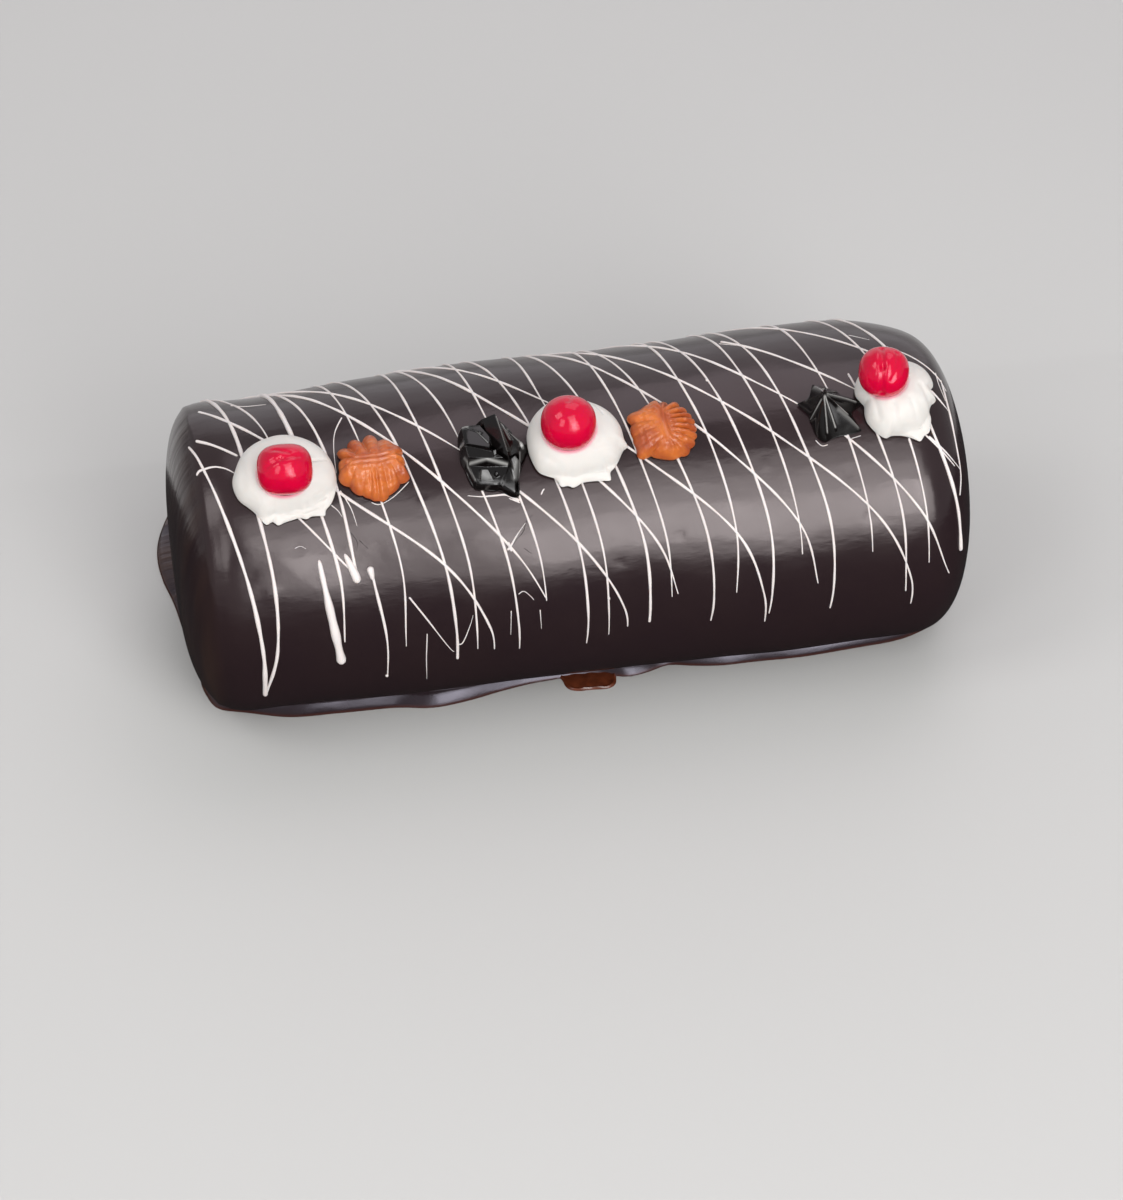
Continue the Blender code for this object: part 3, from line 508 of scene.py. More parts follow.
# Soft boxes: azimuth and elevation in degrees, distance, width and height in metres, share of
# the front light's radiance, colour
SOFT_BOXES = (
    ("front", 12.5, 27, 1.7, 0.50, 0.76, 1.0, "#ffffff"),
    ("front_foot", 12.5, 9.5, 1.7, 0.50, 0.28, 0.45, "#ffffff"),
    ("front_right", 27, 24, 1.7, 0.42, 0.9, 0.6, "#ffffff"),
    ("front_left", -1.5, 24, 1.7, 0.26, 0.9, 0.29, "#ffffff"),
    ("front_middle", 13, 47, 1.7, 0.75, 0.4, 0.66, "#ffffff"),
    ("front_high", 13, 61, 1.7, 0.75, 0.42, 0.36, "#ffffff"),
    ("left", -42, 38, 1.7, 0.5, 0.8, 0.4, "#ffffff"),
    ("left_high", -80, 52, 1.7, 0.6, 0.8, 0.45, "#ffffff"),
    ("back", 170, 21, 2.0, 3.0, 1.4, 0.07, "#f7f2f7"),
    ("top", 149, 61, 2.05, 1.1, 1.3, 0.2, "#f6edf4"),
)
# The floor and the dark card before the roll, in metres
FLOOR_SIZE = 8
FLOOR_PLACE = (0, 0, -0.0001)
FLOOR_MOTTLE = 0.96            # its darker tone, as a share of its colour
CARD_PLACE = (0.1, -0.5, 0.0002)
CARD_SIZE = (2.4, 1.2, 1)

# The picture's own frame
CAMERA_PLACE = (-0.15044, -0.84174, 0.80379)
CAMERA_DOWN = 42.97            # degrees under the horizon
CAMERA_TURN = -10.14
PICTURE_HEIGHT = 1200          # pixels
FOCUS_PIXELS = 3590
SENSOR = 36                    # mm

# A topping's mesh: its segments and rings, and the shares of the rings for its top and for its
# rounded lower edge
DOME_SEGMENTS = 240
DOME_RINGS = 110
TOP_RINGS = 0.82
EDGE_RINGS = 0.06
CREST_OPENS = 0.15             # share of the way out over which the rings open from a crest
FINE = 1.6                     # how much finer the meshes of the sharp dark stars are
SUNK = 0.25                    # how far a topping is pressed into the log
# A point of a new primitive counts as on an edge of it when it is this near
ON_EDGE = 0.001


def linear(code):
    """Turn an sRGB hex colour into linear red, green and blue."""
    parts = [int(code[start:start + 2], 16) / 255 for start in (1, 3, 5)]
    return [part / 12.92 if part <= 0.04045 else ((part + 0.055) / 1.055) ** 2.4 for part in parts]


# ---------------------------------------------------------------- settings


def colour_setting(name, description, code):
    """A colour that a user may change."""
    return FloatVectorProperty(
        name=name, description=description,
        subtype="COLOR", size=3, min=0, max=1, default=linear(code),
    )


class GlazeSettings(PropertyGroup):
    """What a user may change about the glaze."""

    colour: colour_setting("Glaze colour", "Colour of the dark glaze in the mass", "#20161a")
    roughness: FloatProperty(
        name="Glaze roughness", description="How soft the glaze's reflections are",
        subtype="FACTOR", min=0, max=1, default=0.19,
    )
    ripple: FloatProperty(
        name="Ripple", description="Height of the soft unevenness of the poured glaze",
        unit="LENGTH", min=0, max=0.001, default=0.00007, precision=6,
    )
    foot_height: FloatProperty(
        name="Foot height", description="Height of the set glaze round the base",
        unit="LENGTH", min=0.001, max=0.006, default=0.0043, precision=5,
    )
    puddle_height: FloatProperty(
        name="Puddle height", description="Height of the puddle behind the left end",
        unit="LENGTH", min=0.001, max=0.003, default=0.0026, precision=5,
    )
    segments: IntProperty(
        name="Segments", description="Faces round the log", min=64, max=360, default=256,
    )


class DrizzleSettings(PropertyGroup):
    """What a user may change about the piped white chocolate."""

    colour: colour_setting("Drizzle colour", "Colour of the piped white chocolate", "#ded6d3")
    width: FloatProperty(
        name="Width", description="Share of each strand's thickness", min=0.3, max=2, default=0.8,
    )
    step: FloatProperty(
        name="Step", description="Distance between two rings of a strand",
        unit="LENGTH", min=0.0005, max=0.004, default=0.0013, precision=5,
    )


class CreamSettings(PropertyGroup):
    """What a user may change about the creams."""

    colour: colour_setting("Cream colour", "Colour of the whipped cream", "#d5d1cc")
    juice: colour_setting(
        "Juice colour", "Colour the cherry gives to the cream round it", "#e08fa0",
    )


class CherrySettings(PropertyGroup):
    """What a user may change about the cherries."""

    colour: colour_setting("Cherry colour", "Colour of the candied cherries", "#d00034")


class StarSettings(PropertyGroup):
    """What a user may change about the piped stars."""

    caramel: colour_setting("Caramel colour", "Colour of the two caramel stars", "#c26829")
    dark: colour_setting("Dark colour", "Colour of the two dark chocolate stars", "#0b0808")


class StageSettings(PropertyGroup):
    """What a user may change about the stage."""

    floor: colour_setting("Floor colour", "Colour of the plain floor", "#c2c1bf")
    key: FloatProperty(
        name="Front light", description="Radiance of the tall soft light in front",
        min=0, max=20, default=7.5,
    )
    sky: FloatProperty(
        name="Surroundings", description="Radiance of the room all round", min=0, max=5, default=0.5,
    )


# ---------------------------------------------------------------- forms


def waves(rows, *measures):
    """Height of some waves at values of the measures they run over, such as x and a turn."""
    total = 0
    for height, *parts in rows:
        for *rates, shift in parts:
            turned = sum(rate * measure for rate, measure in zip(rates, measures)) + shift
            height = height * np.sin(turned)
        total = total + height
    return total


def bell(away, width):
    """1 in the middle, falling softly to 0 beside it."""
    return np.exp(-(away / width) ** 2)


def rounded(share, power, root=0.5):
    """1 in the middle of a form, falling to 0 at its edge, in a round for a root under 1."""
    return (1 - share ** power) ** root


def signed(value, power):
    """A power of a value's size, with the value's sign."""
    return np.sign(value) * np.abs(value) ** power


def within_half_turn(angle):
    """An angle in degrees, from -180 to 180."""
    return (angle + 180) % 360 - 180


def smooth_path(points, pieces=8):
    """A curve through points of two measures, with several steps between two of them."""
    held = [points[0], *points, points[-1]]
    path = []
    for before, start, stop, after in zip(held, held[1:], held[2:], held[3:]):
        for step in range(pieces):
            share = step / pieces
            square, cube = share ** 2, share ** 3
            path.append(tuple(
                0.5 * (2 * b + (c - a) * share + (2 * a - 5 * b + 4 * c - d) * square
                       + (3 * b - a - 3 * c + d) * cube)
                for a, b, c, d in zip(before, start, stop, after)
            ))
    path.append(points[-1])
    return path


# ---------------------------------------------------------------- pieces and materials


def start_piece(name, add, **sizes):
    """Add a primitive with nothing else selected, and name it."""
    if bpy.context.object and bpy.context.object.mode != "OBJECT":
        bpy.ops.object.mode_set(mode="OBJECT")
    bpy.ops.object.select_all(action="DESELECT")
    add(**sizes)
    piece = bpy.context.object
    piece.name = name
    piece.data.name = name
    return piece


def start_ball(name, segments, rings, **place):
    """Add a ball of 1 mm radius."""
    return start_piece(
        name, bpy.ops.mesh.primitive_uv_sphere_add,
        segments=segments, ring_count=rings, radius=MM, **place,
    )


def points_of(piece):
    """A mesh's points as rows of x, y and z in mm."""
    spots = np.empty(len(piece.data.vertices) * 3)
    piece.data.vertices.foreach_get("co", spots)
    return spots.reshape(-1, 3) / MM


def turn_and_reach(spots):
    """The turn of points round the Z axis, and how far they are from it, as 1 at most."""
    x, y = spots[:, 0], spots[:, 1]
    return np.arctan2(y, x), np.clip(np.hypot(x, y), 0, 1)


def move_points(piece, spots):
    """Put a mesh's points at rows of x, y and z in mm."""
    piece.data.vertices.foreach_set("co", (spots * MM).ravel())
    piece.data.update()


def select_only(piece):
    """Select a piece alone and make it the active one."""
    bpy.ops.object.select_all(action="DESELECT")
    piece.select_set(True)
    bpy.context.view_layer.objects.active = piece


def edit_whole(step, **settings):
    """Run a step of edit mode on the whole of the active mesh."""
    bpy.ops.object.mode_set(mode="EDIT")
    bpy.ops.mesh.select_all(action="SELECT")
    step(**settings)
    bpy.ops.object.mode_set(mode="OBJECT")


def smooth_out(piece, times):
    """Soften a piece's mesh a few times over."""
    bpy.context.view_layer.objects.active = piece
    softer = piece.modifiers.new("smooth", "SMOOTH")
    softer.factor = 0.5
    softer.iterations = times
    bpy.ops.object.modifier_apply(modifier=softer.name)


def finish_piece(piece, material, node, smooth):
    """Place a piece in the model: its material and its body, and hide the node it stands for.

    Edges flatter than the angle smooth, in degrees, are shaded smooth.
    """
    select_only(piece)
    bpy.ops.object.transform_apply(location=True, rotation=True, scale=True)
    edit_whole(bpy.ops.mesh.normals_make_consistent, inside=False)
    bpy.ops.object.shade_smooth_by_angle(angle=radians(smooth))
    piece.data.materials.clear()
    piece.data.materials.append(material)
    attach(piece, "root")
    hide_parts(node)
    if not len(piece.data.polygons):
        raise RuntimeError(f"{piece.name} came out empty")


def add_node(tree, kind, settings=None, links=None):
    """Add a node, with its own settings, its inputs' values and its inputs' links."""
    node = tree.nodes.new(kind)
    for key, value in (settings or {}).items():
        if isinstance(key, int) or key in node.inputs:
            node.inputs[key].default_value = value
        else:
            setattr(node, key, value)
    for key, socket in (links or {}).items():
        tree.links.new(socket, node.inputs[key])
    return node


def every(size):
    """Scale of a pattern that repeats about every so many mm."""
    return 1 / (size * MM)


def new_material(name, values):
    """A Principled material with plain values on the shader's own sockets."""
    made = bpy.data.materials.new(name)
    made.use_nodes = True
    shader = made.node_tree.nodes["Principled BSDF"]
    for key, value in values.items():
        shader.inputs[key].default_value = value
    return made, made.node_tree, shader


def colour_in_clouds(tree, shader, size, first, second, detail=2, spread=(0, 1, 1)):
    """Colour a material from one tone to another in clouds of a size in mm.

    spread gives where in the clouds the change starts and ends, and how far it goes.
    """
    where = add_node(tree, "ShaderNodeTexCoord").outputs["Object"]
    cloud = add_node(tree, "ShaderNodeTexNoise", {
        "Scale": every(size), "Detail": detail,
    }, {"Vector": where})
    start, stop, most = spread
    share = add_node(tree, "ShaderNodeMapRange", {
        "From Min": start, "From Max": stop, "To Min": 0, "To Max": most,
    }, {"Value": cloud.outputs[0]})
    mix = add_node(tree, "ShaderNodeMix", {
        "data_type": "RGBA", 6: (*first, 1), 7: (*second, 1),
    }, {"Factor": share.outputs[0]})
    tree.links.new(mix.outputs[2], shader.inputs["Base Color"])


# ---------------------------------------------------------------- the log's own surface


def log_radius(x, angle):
    """Radius of the solid log in mm, at x in mm and an angle in degrees from the crest."""
    radius = ROLL_RADIUS * (1 + TAPER * x * MM)
    for middle, way, length, width, depth in HOLLOWS:
        away = within_half_turn(angle - way)
        radius = radius - depth * bell(x - middle, length) * bell(away, width)
    radius = radius + waves(LOG_WAVES, x, np.radians(angle))
    into_left = np.clip((LEFT_TIP + LEFT_ROUND - x) / LEFT_ROUND, 0, 1)
    into_right = np.clip((x - RIGHT_TIP + RIGHT_ROUND) / RIGHT_ROUND, 0, 1)
    radius = radius * rounded(into_left, LEFT_POWER, 1 / LEFT_POWER)
    return radius * rounded(into_right, RIGHT_POWER, 1 / RIGHT_POWER)


def glaze_radius(x, angle):
    """The log's radius with the fine relief of the set glaze on it."""
    turn = np.radians(angle)
    radius = log_radius(x, angle)
    over = radius / ROLL_RADIUS
    ripple = bpy.context.scene.swiss_roll_glaze.ripple / MM
    radius = radius + ripple * waves(RIPPLES, x, turn) * over
    way, half, depth = TUCK
    radius = radius - depth * bell(angle - way, half) * over
    for middle, way, size, depth in DENTS:
        along = ROLL_RADIUS * np.radians(angle - way)
        radius = radius - depth * bell(x - middle, size) * bell(along, size)
    rim = RIM_X + waves(RIM_WAVES, turn)
    return radius + RIM_HEIGHT * bell(x - rim, RIM_WIDTH) * over


def on_glaze(x, angle, lift=0):
    """Points on the glaze, in mm, lifted off it."""
    radius = glaze_radius(x, angle) + lift
    turn = np.radians(angle)
    return np.stack([x, -radius * np.sin(turn), AXIS_HEIGHT + radius * np.cos(turn)], axis=-1)


def seat_matrix(x, angle):
    """Frame of a topping in mm: its z axis leaves the log squarely at x and angle."""
    turn = radians(angle)
    radius = float(log_radius(x, angle))
    place = Matrix.Translation((x, -radius * sin(turn), AXIS_HEIGHT + radius * cos(turn)))
    return place @ Matrix.Rotation(turn, 4, "X")


# ---------------------------------------------------------------- the glaze


def glaze_material(settings, name, tint):
    """Cocoa glaze poured warm over the cake: near black, glossy, with a slightly soft skin."""
    made, tree, shader = new_material(name, {
        "IOR": 1.5,
        "Metallic": 0,
        "Specular Tint": (*linear(tint), 1),
    })
    where = add_node(tree, "ShaderNodeTexCoord").outputs["Object"]
    part = add_node(tree, "ShaderNodeSeparateXYZ", None, {0: where})
    # patches where the glaze lies thinner, 25 mm across
    patch = add_node(tree, "ShaderNodeTexNoise", {
        "Scale": every(25), "Detail": 3, "Roughness": 0.6,
    }, {"Vector": where})
    thin = add_node(tree, "ShaderNodeMix", {
        "data_type": "RGBA", 6: (*settings.colour, 1), 7: (*linear("#261a1b"), 1),
    }, {"Factor": patch.outputs[0]})
    # the left end was smoothed downwards, which left upright streaks 8 mm apart; their warm brown is
    # partly the glaze's own and partly a painted reflection of warm light from below
    streak_place = add_node(tree, "ShaderNodeMapping", {
        "Scale": (every(50), every(7.69), every(62.5)),
    }, {"Vector": where})
    streak_noise = add_node(tree, "ShaderNodeTexNoise", {
        "Scale": 1, "Detail": 3,
    }, {"Vector": streak_place.outputs[0]})
    streak = add_node(tree, "ShaderNodeMapRange", {
        "From Min": 0.42, "From Max": 0.66, "To Min": 0, "To Max": 1,
    }, {"Value": streak_noise.outputs[0]})
    at_end = add_node(tree, "ShaderNodeMapRange", {
        "interpolation_type": "SMOOTHSTEP",
        "From Min": -0.112, "From Max": -0.118, "To Min": 0, "To Max": 1,
    }, {"Value": part.outputs["X"]})
    # they show most low on the end, where they ran down and where the painted reflection from below
    # is strongest
    low = add_node(tree, "ShaderNodeMapRange", {
        "interpolation_type": "SMOOTHSTEP",
        "From Min": 0.06, "From Max": 0.015, "To Min": 0.25, "To Max": 1,
    }, {"Value": part.outputs["Z"]})
    seen = add_node(tree, "ShaderNodeMath", {"operation": "MULTIPLY"}, {
        0: at_end.outputs[0], 1: low.outputs[0],
    })
    streaks = add_node(tree, "ShaderNodeMath", {"operation": "MULTIPLY"}, {
        0: seen.outputs[0], 1: streak.outputs[0],
    })
    # the streaks' warm brown: partly real streaking, partly painted reflection
    streaks_and_reflection = add_node(tree, "ShaderNodeMix", {
        "data_type": "RGBA", 7: (*linear("#433026"), 1),
    }, {"Factor": streaks.outputs[0], 6: thin.outputs[2]})
    # it runs out thin at the floor, where its last millimetre turns red-brown
    thin_edge = add_node(tree, "ShaderNodeMapRange", {
        "From Min": 0.0004, "From Max": 0.0012, "To Min": 0.6, "To Max": 0,
    }, {"Value": part.outputs["Z"]})
    edged = add_node(tree, "ShaderNodeMix", {
        "data_type": "RGBA", 7: (*linear("#4a281e"), 1),
    }, {"Factor": thin_edge.outputs[0], 6: streaks_and_reflection.outputs[2]})
    tree.links.new(edged.outputs[2], shader.inputs["Base Color"])
    gloss = add_node(tree, "ShaderNodeMapRange", {
        "From Min": 0.3, "From Max": 0.7,
        "To Min": settings.roughness - 0.05, "To Max": settings.roughness + 0.07,
    }, {"Value": patch.outputs[0]})
    tree.links.new(gloss.outputs[0], shader.inputs["Roughness"])
    # the crumb under the glaze and its flow along the log show as a faint grain, 5 by 12 mm
    grain_place = add_node(tree, "ShaderNodeMapping", {
        "Scale": (every(11.76), every(5), every(5)),
    }, {"Vector": where})
    grain = add_node(tree, "ShaderNodeTexNoise", {
        "Scale": 1, "Detail": 4, "Roughness": 0.5,
    }, {"Vector": grain_place.outputs[0]})
    grained = add_node(tree, "ShaderNodeBump", {
        "Strength": 0.45, "Distance": 0.0003,
    }, {"Height": grain.outputs[0]})
    # and the streaks stand out of the end a little
    bump = add_node(tree, "ShaderNodeBump", {"Distance": 0.0008}, {
        "Strength": at_end.outputs[0], "Height": streak_noise.outputs[0],
        "Normal": grained.outputs[0],
    })
    tree.links.new(bump.outputs[0], shader.inputs["Normal"])
    return made


def thin_glaze_material():
    """Cocoa glaze run out thin on the floor: red-brown and glossy."""
    made, tree, shader = new_material("chocolate_glaze_thin", {"Roughness": 0.22, "IOR": 1.5})
    # cocoa fat has gathered in it, in clouds of 3 mm
    colour_in_clouds(tree, shader, 3.03, linear("#33130b"), linear("#743a22"), detail=3)
    return made


def log_stations():
    """x in mm of each ring of the log, closer together in the rounded ends."""
    into = np.linspace(0, pi / 2, END_RINGS + 1)[1:]
    left = LEFT_TIP + LEFT_ROUND * (1 - np.sin(into[::-1]) ** (2 / LEFT_POWER))
    right = RIGHT_TIP - RIGHT_ROUND * (1 - np.sin(into) ** (2 / RIGHT_POWER))
    middle = np.linspace(
        LEFT_TIP + LEFT_ROUND, RIGHT_TIP - RIGHT_ROUND, LOG_RINGS + 1 - 2 * END_RINGS,
    )
    return np.concatenate([left, middle, right])


def make_log(settings, material):
    """The glazed log: a ball drawn out along X, moved to the log's surface and cut level."""
    log = start_ball("glaze_log", settings.segments, LOG_RINGS, rotation=(0, pi / 2, 0))
    bpy.ops.object.transform_apply(location=False, rotation=True, scale=False)
    ball = points_of(log)
    fall = np.arccos(np.clip(-ball[:, 0], -1, 1))
    x = log_stations()[np.round(fall / pi * LOG_RINGS).astype(int)]
    angle = np.degrees(np.arctan2(-ball[:, 1], ball[:, 2]))
    move_points(log, on_glaze(x, angle))
    edit_whole(
        bpy.ops.mesh.bisect,
        plane_co=(0, 0, 0), plane_no=(0, 0, 1), use_fill=True, clear_inner=True, threshold=1e-6,
    )
    finish_piece(log, material, "roll", smooth=50)


def foot_edges(turn):
    """Edge of the set glaze round the base, at a turn, and its inner edge: x and y of each."""
    middle = (FOOT_FROM + FOOT_TO) / 2
    half_width = sqrt(ROLL_RADIUS ** 2 - AXIS_HEIGHT ** 2) + FOOT_REACH
    x = middle + signed(np.cos(turn), FOOT_SQUARE) * (FOOT_TO - FOOT_FROM) / 2
    y = signed(np.sin(turn), FOOT_SQUARE) * half_width
    x = x + np.cos(turn) ** 3 * waves(FOOT_END_WAVES, y)
    back = np.clip(np.sin(turn) * FOOT_FADE, 0, 1)
    front = np.clip(-np.sin(turn) * FOOT_FADE, 0, 1)
    path = np.array(smooth_path(FOOT_FRONT))
    reach = waves(FOOT_WAVES, x) + back * waves(FOOT_BACK_WAVES, x)
    reach = reach + front * np.interp(x, path[:, 0], path[:, 1])
    inner_x, inner_y = middle + (x - middle) * FOOT_CORE, y * FOOT_CORE
    return x, y + reach * signed(np.sin(turn), 0.5), inner_x, inner_y


def even_turns(share):
    """The turns at which the foot's edge has run given shares of its length."""
    dense = np.linspace(0, 2 * pi, EDGE_STEPS)
    x, y, *_ = foot_edges(dense)
    far = np.concatenate([[0], np.cumsum(np.hypot(np.diff(x), np.diff(y)))])
    return np.interp(share, far / far[-1], dense)


def make_foot(settings, material):
    """The bead of glaze that set round the base: a ring pressed flat on the floor."""
    foot = start_piece(
        "glaze_foot", bpy.ops.mesh.primitive_torus_add,
        major_segments=256, minor_segments=32, major_radius=FOOT_RING * MM, minor_radius=MM,
    )
    ring = points_of(foot)
    share = np.arctan2(ring[:, 1], ring[:, 0]) / (2 * pi) % 1
    section = np.arctan2(ring[:, 2], np.hypot(ring[:, 0], ring[:, 1]) - FOOT_RING)
    x, y, inner_x, inner_y = foot_edges(even_turns(share))
    inward = (1 - np.cos(section)) / 2
    far = inward * np.hypot(inner_x - x, inner_y - y)
    # it slopes up from its edge and levels out under the log, in two laps that overlap
    slope = 1 - (1 - np.clip(far / FOOT_SLOPE, 0, 1)) ** FOOT_SLOPE_POWER
    height = settings.foot_height / MM * (FOOT_LEVEL + waves(FOOT_TOP_WAVES, x))
    groove_depth, groove_half = LAP_GROOVE
    groove = groove_depth * bell(far - LAP - waves(LAP_WAVES, x), groove_half)
    lip_height, lip_width = FOOT_LIP
    lip = lip_height * (1 - np.exp(-far / lip_width))
    z = np.where(section > ON_EDGE, np.maximum(height * slope + lip - groove * slope, 0), 0)
    z = np.where(inward > 1 - ON_EDGE, FOOT_INNER, z)
    spots = np.stack([x + (inner_x - x) * inward, y + (inner_y - y) * inward, z], 1)
    move_points(foot, spots)
    finish_piece(foot, material, "roll", smooth=75)


def make_patch():
    """The thin red-brown patch that ran out at the front: a ball pressed flat."""
    patch = start_ball("glaze_patch", segments=96, rings=40)
    middle_x, middle_y, half_x, half_y, square = PATCH
    ball = points_of(patch)
    turn, out = turn_and_reach(ball)
    reach = (np.abs(np.cos(turn)) ** square + np.abs(np.sin(turn)) ** square) ** (-1 / square)
    reach = reach * out * (1 + waves(PATCH_EDGE_WAVES, turn))
    x, y = half_x * reach * np.cos(turn), half_y * reach * np.sin(turn)
    rim_height, rim_share, rim_half = PATCH_RIM
    top = PATCH_HEIGHT * rounded(out, PATCH_ROUND) + waves(PATCH_WAVES, x, y)
    top = top + rim_height * bell(out - rim_share, rim_half)
    z = np.where(ball[:, 2] > ON_EDGE, np.maximum(top, 0), 0)
    move_points(patch, np.stack([middle_x + x - PATCH_LEAN * y, middle_y + y, z], 1))
    finish_piece(patch, thin_glaze_material(), "roll", smooth=75)


def puddle_edge(turn):
    """Edge of the puddle behind the left end: x and y in mm from its middle."""
    lean = np.where(
        np.cos(turn) > 0,
        1 - PUDDLE_NARROWS * np.sin(turn),
        1 + PUDDLE_HUGS * np.minimum(0, np.sin(turn)),
    )
    uneven = 1 + waves(PUDDLE_EDGE_WAVES, turn)
    x = signed(np.cos(turn), PUDDLE_SQUARE) * PUDDLE_HALF_X * lean * uneven
    y = signed(np.sin(turn), PUDDLE_SQUARE) * PUDDLE_HALF_Y * uneven
    ripple = 1 + waves(PUDDLE_RIPPLES, turn) / PUDDLE_HALF_X
    return x * ripple, y * ripple


def make_puddle(settings, material):
    """The puddle behind the left end: a ball pressed flat, with a rounded edge."""
    puddle = start_ball("glaze_puddle", segments=160, rings=64)
    ball = points_of(puddle)
    turn, out = turn_and_reach(ball)
    x, y = puddle_edge(turn)
    height = settings.puddle_height / MM
    top = height * rounded(out, PUDDLE_ROUND) * (1 - PUDDLE_FALL * out ** 2)
    z = np.where(ball[:, 2] > ON_EDGE, top, 0)
    move_points(puddle, np.stack([PUDDLE_X + x * out, PUDDLE_Y + y * out, z], 1))
    finish_piece(puddle, material, "puddle", smooth=75)


class SWISSROLL_OT_glaze(Operator):
    """Pour the dark glaze: the log, the foot round its base, the patch and the puddle"""

    bl_idname = "swiss_roll.glaze"
    bl_label = "Glaze"

    def execute(self, context):
        settings = context.scene.swiss_roll_glaze
        poured = glaze_material(settings, "chocolate_glaze_poured", "#fff3f2")
        pooled = glaze_material(settings, "chocolate_glaze_pooled", "#eeeafc")
        make_log(settings, poured)
        make_foot(settings, pooled)
        make_patch()
        make_puddle(settings, pooled)
        return {"FINISHED"}


# ---------------------------------------------------------------- the drizzle


def drizzle_material(settings):
    """White chocolate piped thin: off-white, a little waxy, with soft highlights."""
    made, tree, shader = new_material("white_chocolate_piped", {
        "Roughness": 0.38,
        "IOR": 1.46,
        "Subsurface Weight": 0.15,
        "Subsurface Radius": (1.0, 0.7, 0.5),
        "Subsurface Scale": 0.0006,
    })
    # thin stretches let the dark glaze through, every 18 mm or so
    colour_in_clouds(
        tree, shader, 18.18, settings.colour, linear("#bfb5b3"),
        detail=3, spread=(0.35, 0.7, 0.35),
    )
    return made


def crack_material():
    """A crack in the glaze: a matt dark line."""
    return new_material("glaze_crack", {
        "Base Color": (*linear("#1a1112"), 1), "Roughness": 0.8,
    })[0]


def strand_x(crossings, angle):
    """x of a strand at an angle: a smooth curve through its crossings, straight in plan behind."""
    if angle < CROSSINGS[0]:
        run = (crossings[1] - crossings[0]) / sin(radians(CROSSINGS[1] - CROSSINGS[0]))
        return crossings[1] + run * sin(radians(angle))
    last = len(crossings) - 1
    slot = 0
    while slot < last - 1 and angle > CROSSINGS[slot + 1]:
        slot += 1
    start, stop = CROSSINGS[slot], CROSSINGS[slot + 1]
    share = (angle - start) / (stop - start)

    def slope(at):
        low, high = max(at - 1, 0), min(at + 1, last)
        return (crossings[high] - crossings[low]) / (CROSSINGS[high] - CROSSINGS[low])

    if share > 1:
        return crossings[last] + slope(last) * (angle - stop)
    width = stop - start
    square, cube = share ** 2, share ** 3
    return (
        (2 * cube - 3 * square + 1) * crossings[slot]
        + (cube - 2 * square + share) * width * slope(slot)
        + (3 * square - 2 * cube) * crossings[slot + 1]
        + (cube - square) * width * slope(slot + 1)
    )


def well_under_topping(x, angle):
    """True well inside a topping's outline, where a strand is out of sight."""
    shapes = [*CREAMS.values(), *[(at, way, *[half] * 3) for at, way, half in STARS.values()]]
    for at, way, wide, up, down in shapes:
        along = ROLL_RADIUS * radians(angle - way)
        length = down if along > 0 else up
        if ((x - at) / (HIDDEN * wide)) ** 2 + (along / (HIDDEN * length)) ** 2 < 1:
            return True
    return False


def add_strand(curve, path, thin, thick, width, step, number, lift):
    """One spline along a path of x and angle, with round tips and a hand's unevenness."""
    rows = np.array(path)
    spots = on_glaze(rows[:, 0], rows[:, 1])
    legs = np.linalg.norm(np.diff(spots, axis=0), axis=1)
    far = np.concatenate([[0], np.cumsum(legs)])
    length = far[-1]
    tip = max(thin, thick) * width / 2
    places = np.linspace(0, length, max(3, int(length / step)) + 1)
    ends = [share * tip for share in TIP_RINGS if share * tip < length / 2]
    places = np.unique(np.concatenate([places, ends, [length - place for place in ends]]))
    x = np.interp(places, far, rows[:, 0])
    angle = np.interp(places, far, rows[:, 1])
    radius = (thin + (thick - thin) * places / length) * width / 2
    radius = radius * (1 + waves(STRAND_WAVES, places, number))
    radius = radius * np.interp(angle, BACK_ANGLES, (BACK_THIN, 1))
    if thick < FINE_END:
        to_end = np.clip((length - places) / TAPERED, 0, 1)
        radius = radius * (1 - 0.5 * (1 - to_end) ** TAPER_POWER)
    from_tip = np.minimum(np.minimum(places, length - places) / tip, 1)
    radius = radius * np.sqrt(np.clip(1 - (1 - from_tip) ** 2, TIP_LEAST, 1))
    spots = on_glaze(x, angle, lift * radius)
    spline = curve.splines.new("POLY")
    spline.points.add(len(places) - 1)
    for point, spot, thickness in zip(spline.points, spots, radius):
        point.co = (*(spot * MM), 1)
        point.radius = thickness


def new_piping(name):
    """An empty curve whose splines are round tubes of their own thickness."""
    curve = bpy.data.curves.new(name, "CURVE")
    curve.dimensions = "3D"
    curve.bevel_depth = MM
    curve.bevel_resolution = 2
    curve.use_fill_caps = True
    piece = bpy.data.objects.new(name, curve)
    bpy.context.collection.objects.link(piece)
    return piece


def harden_piping(piece):
    """Turn piping into a mesh, with its caps joined on."""
    select_only(piece)
    bpy.ops.object.convert(target="MESH")
    edit_whole(bpy.ops.mesh.remove_doubles, threshold=1e-6)
    return bpy.context.object


def runs_in_sight(crossings, start, stop):
    """The stretches of a strand that show, as points of x and angle."""
    runs = [[]]
    for angle in np.arange(start, stop + 0.5, ANGLE_STEP):
        angle = min(float(angle), stop)
        x = strand_x(crossings, angle)
        if DRIZZLE_FROM < x < DRIZZLE_TO and not well_under_topping(x, angle):
            runs[-1].append((x, angle))
        elif runs[-1]:
            runs.append([])
    return runs


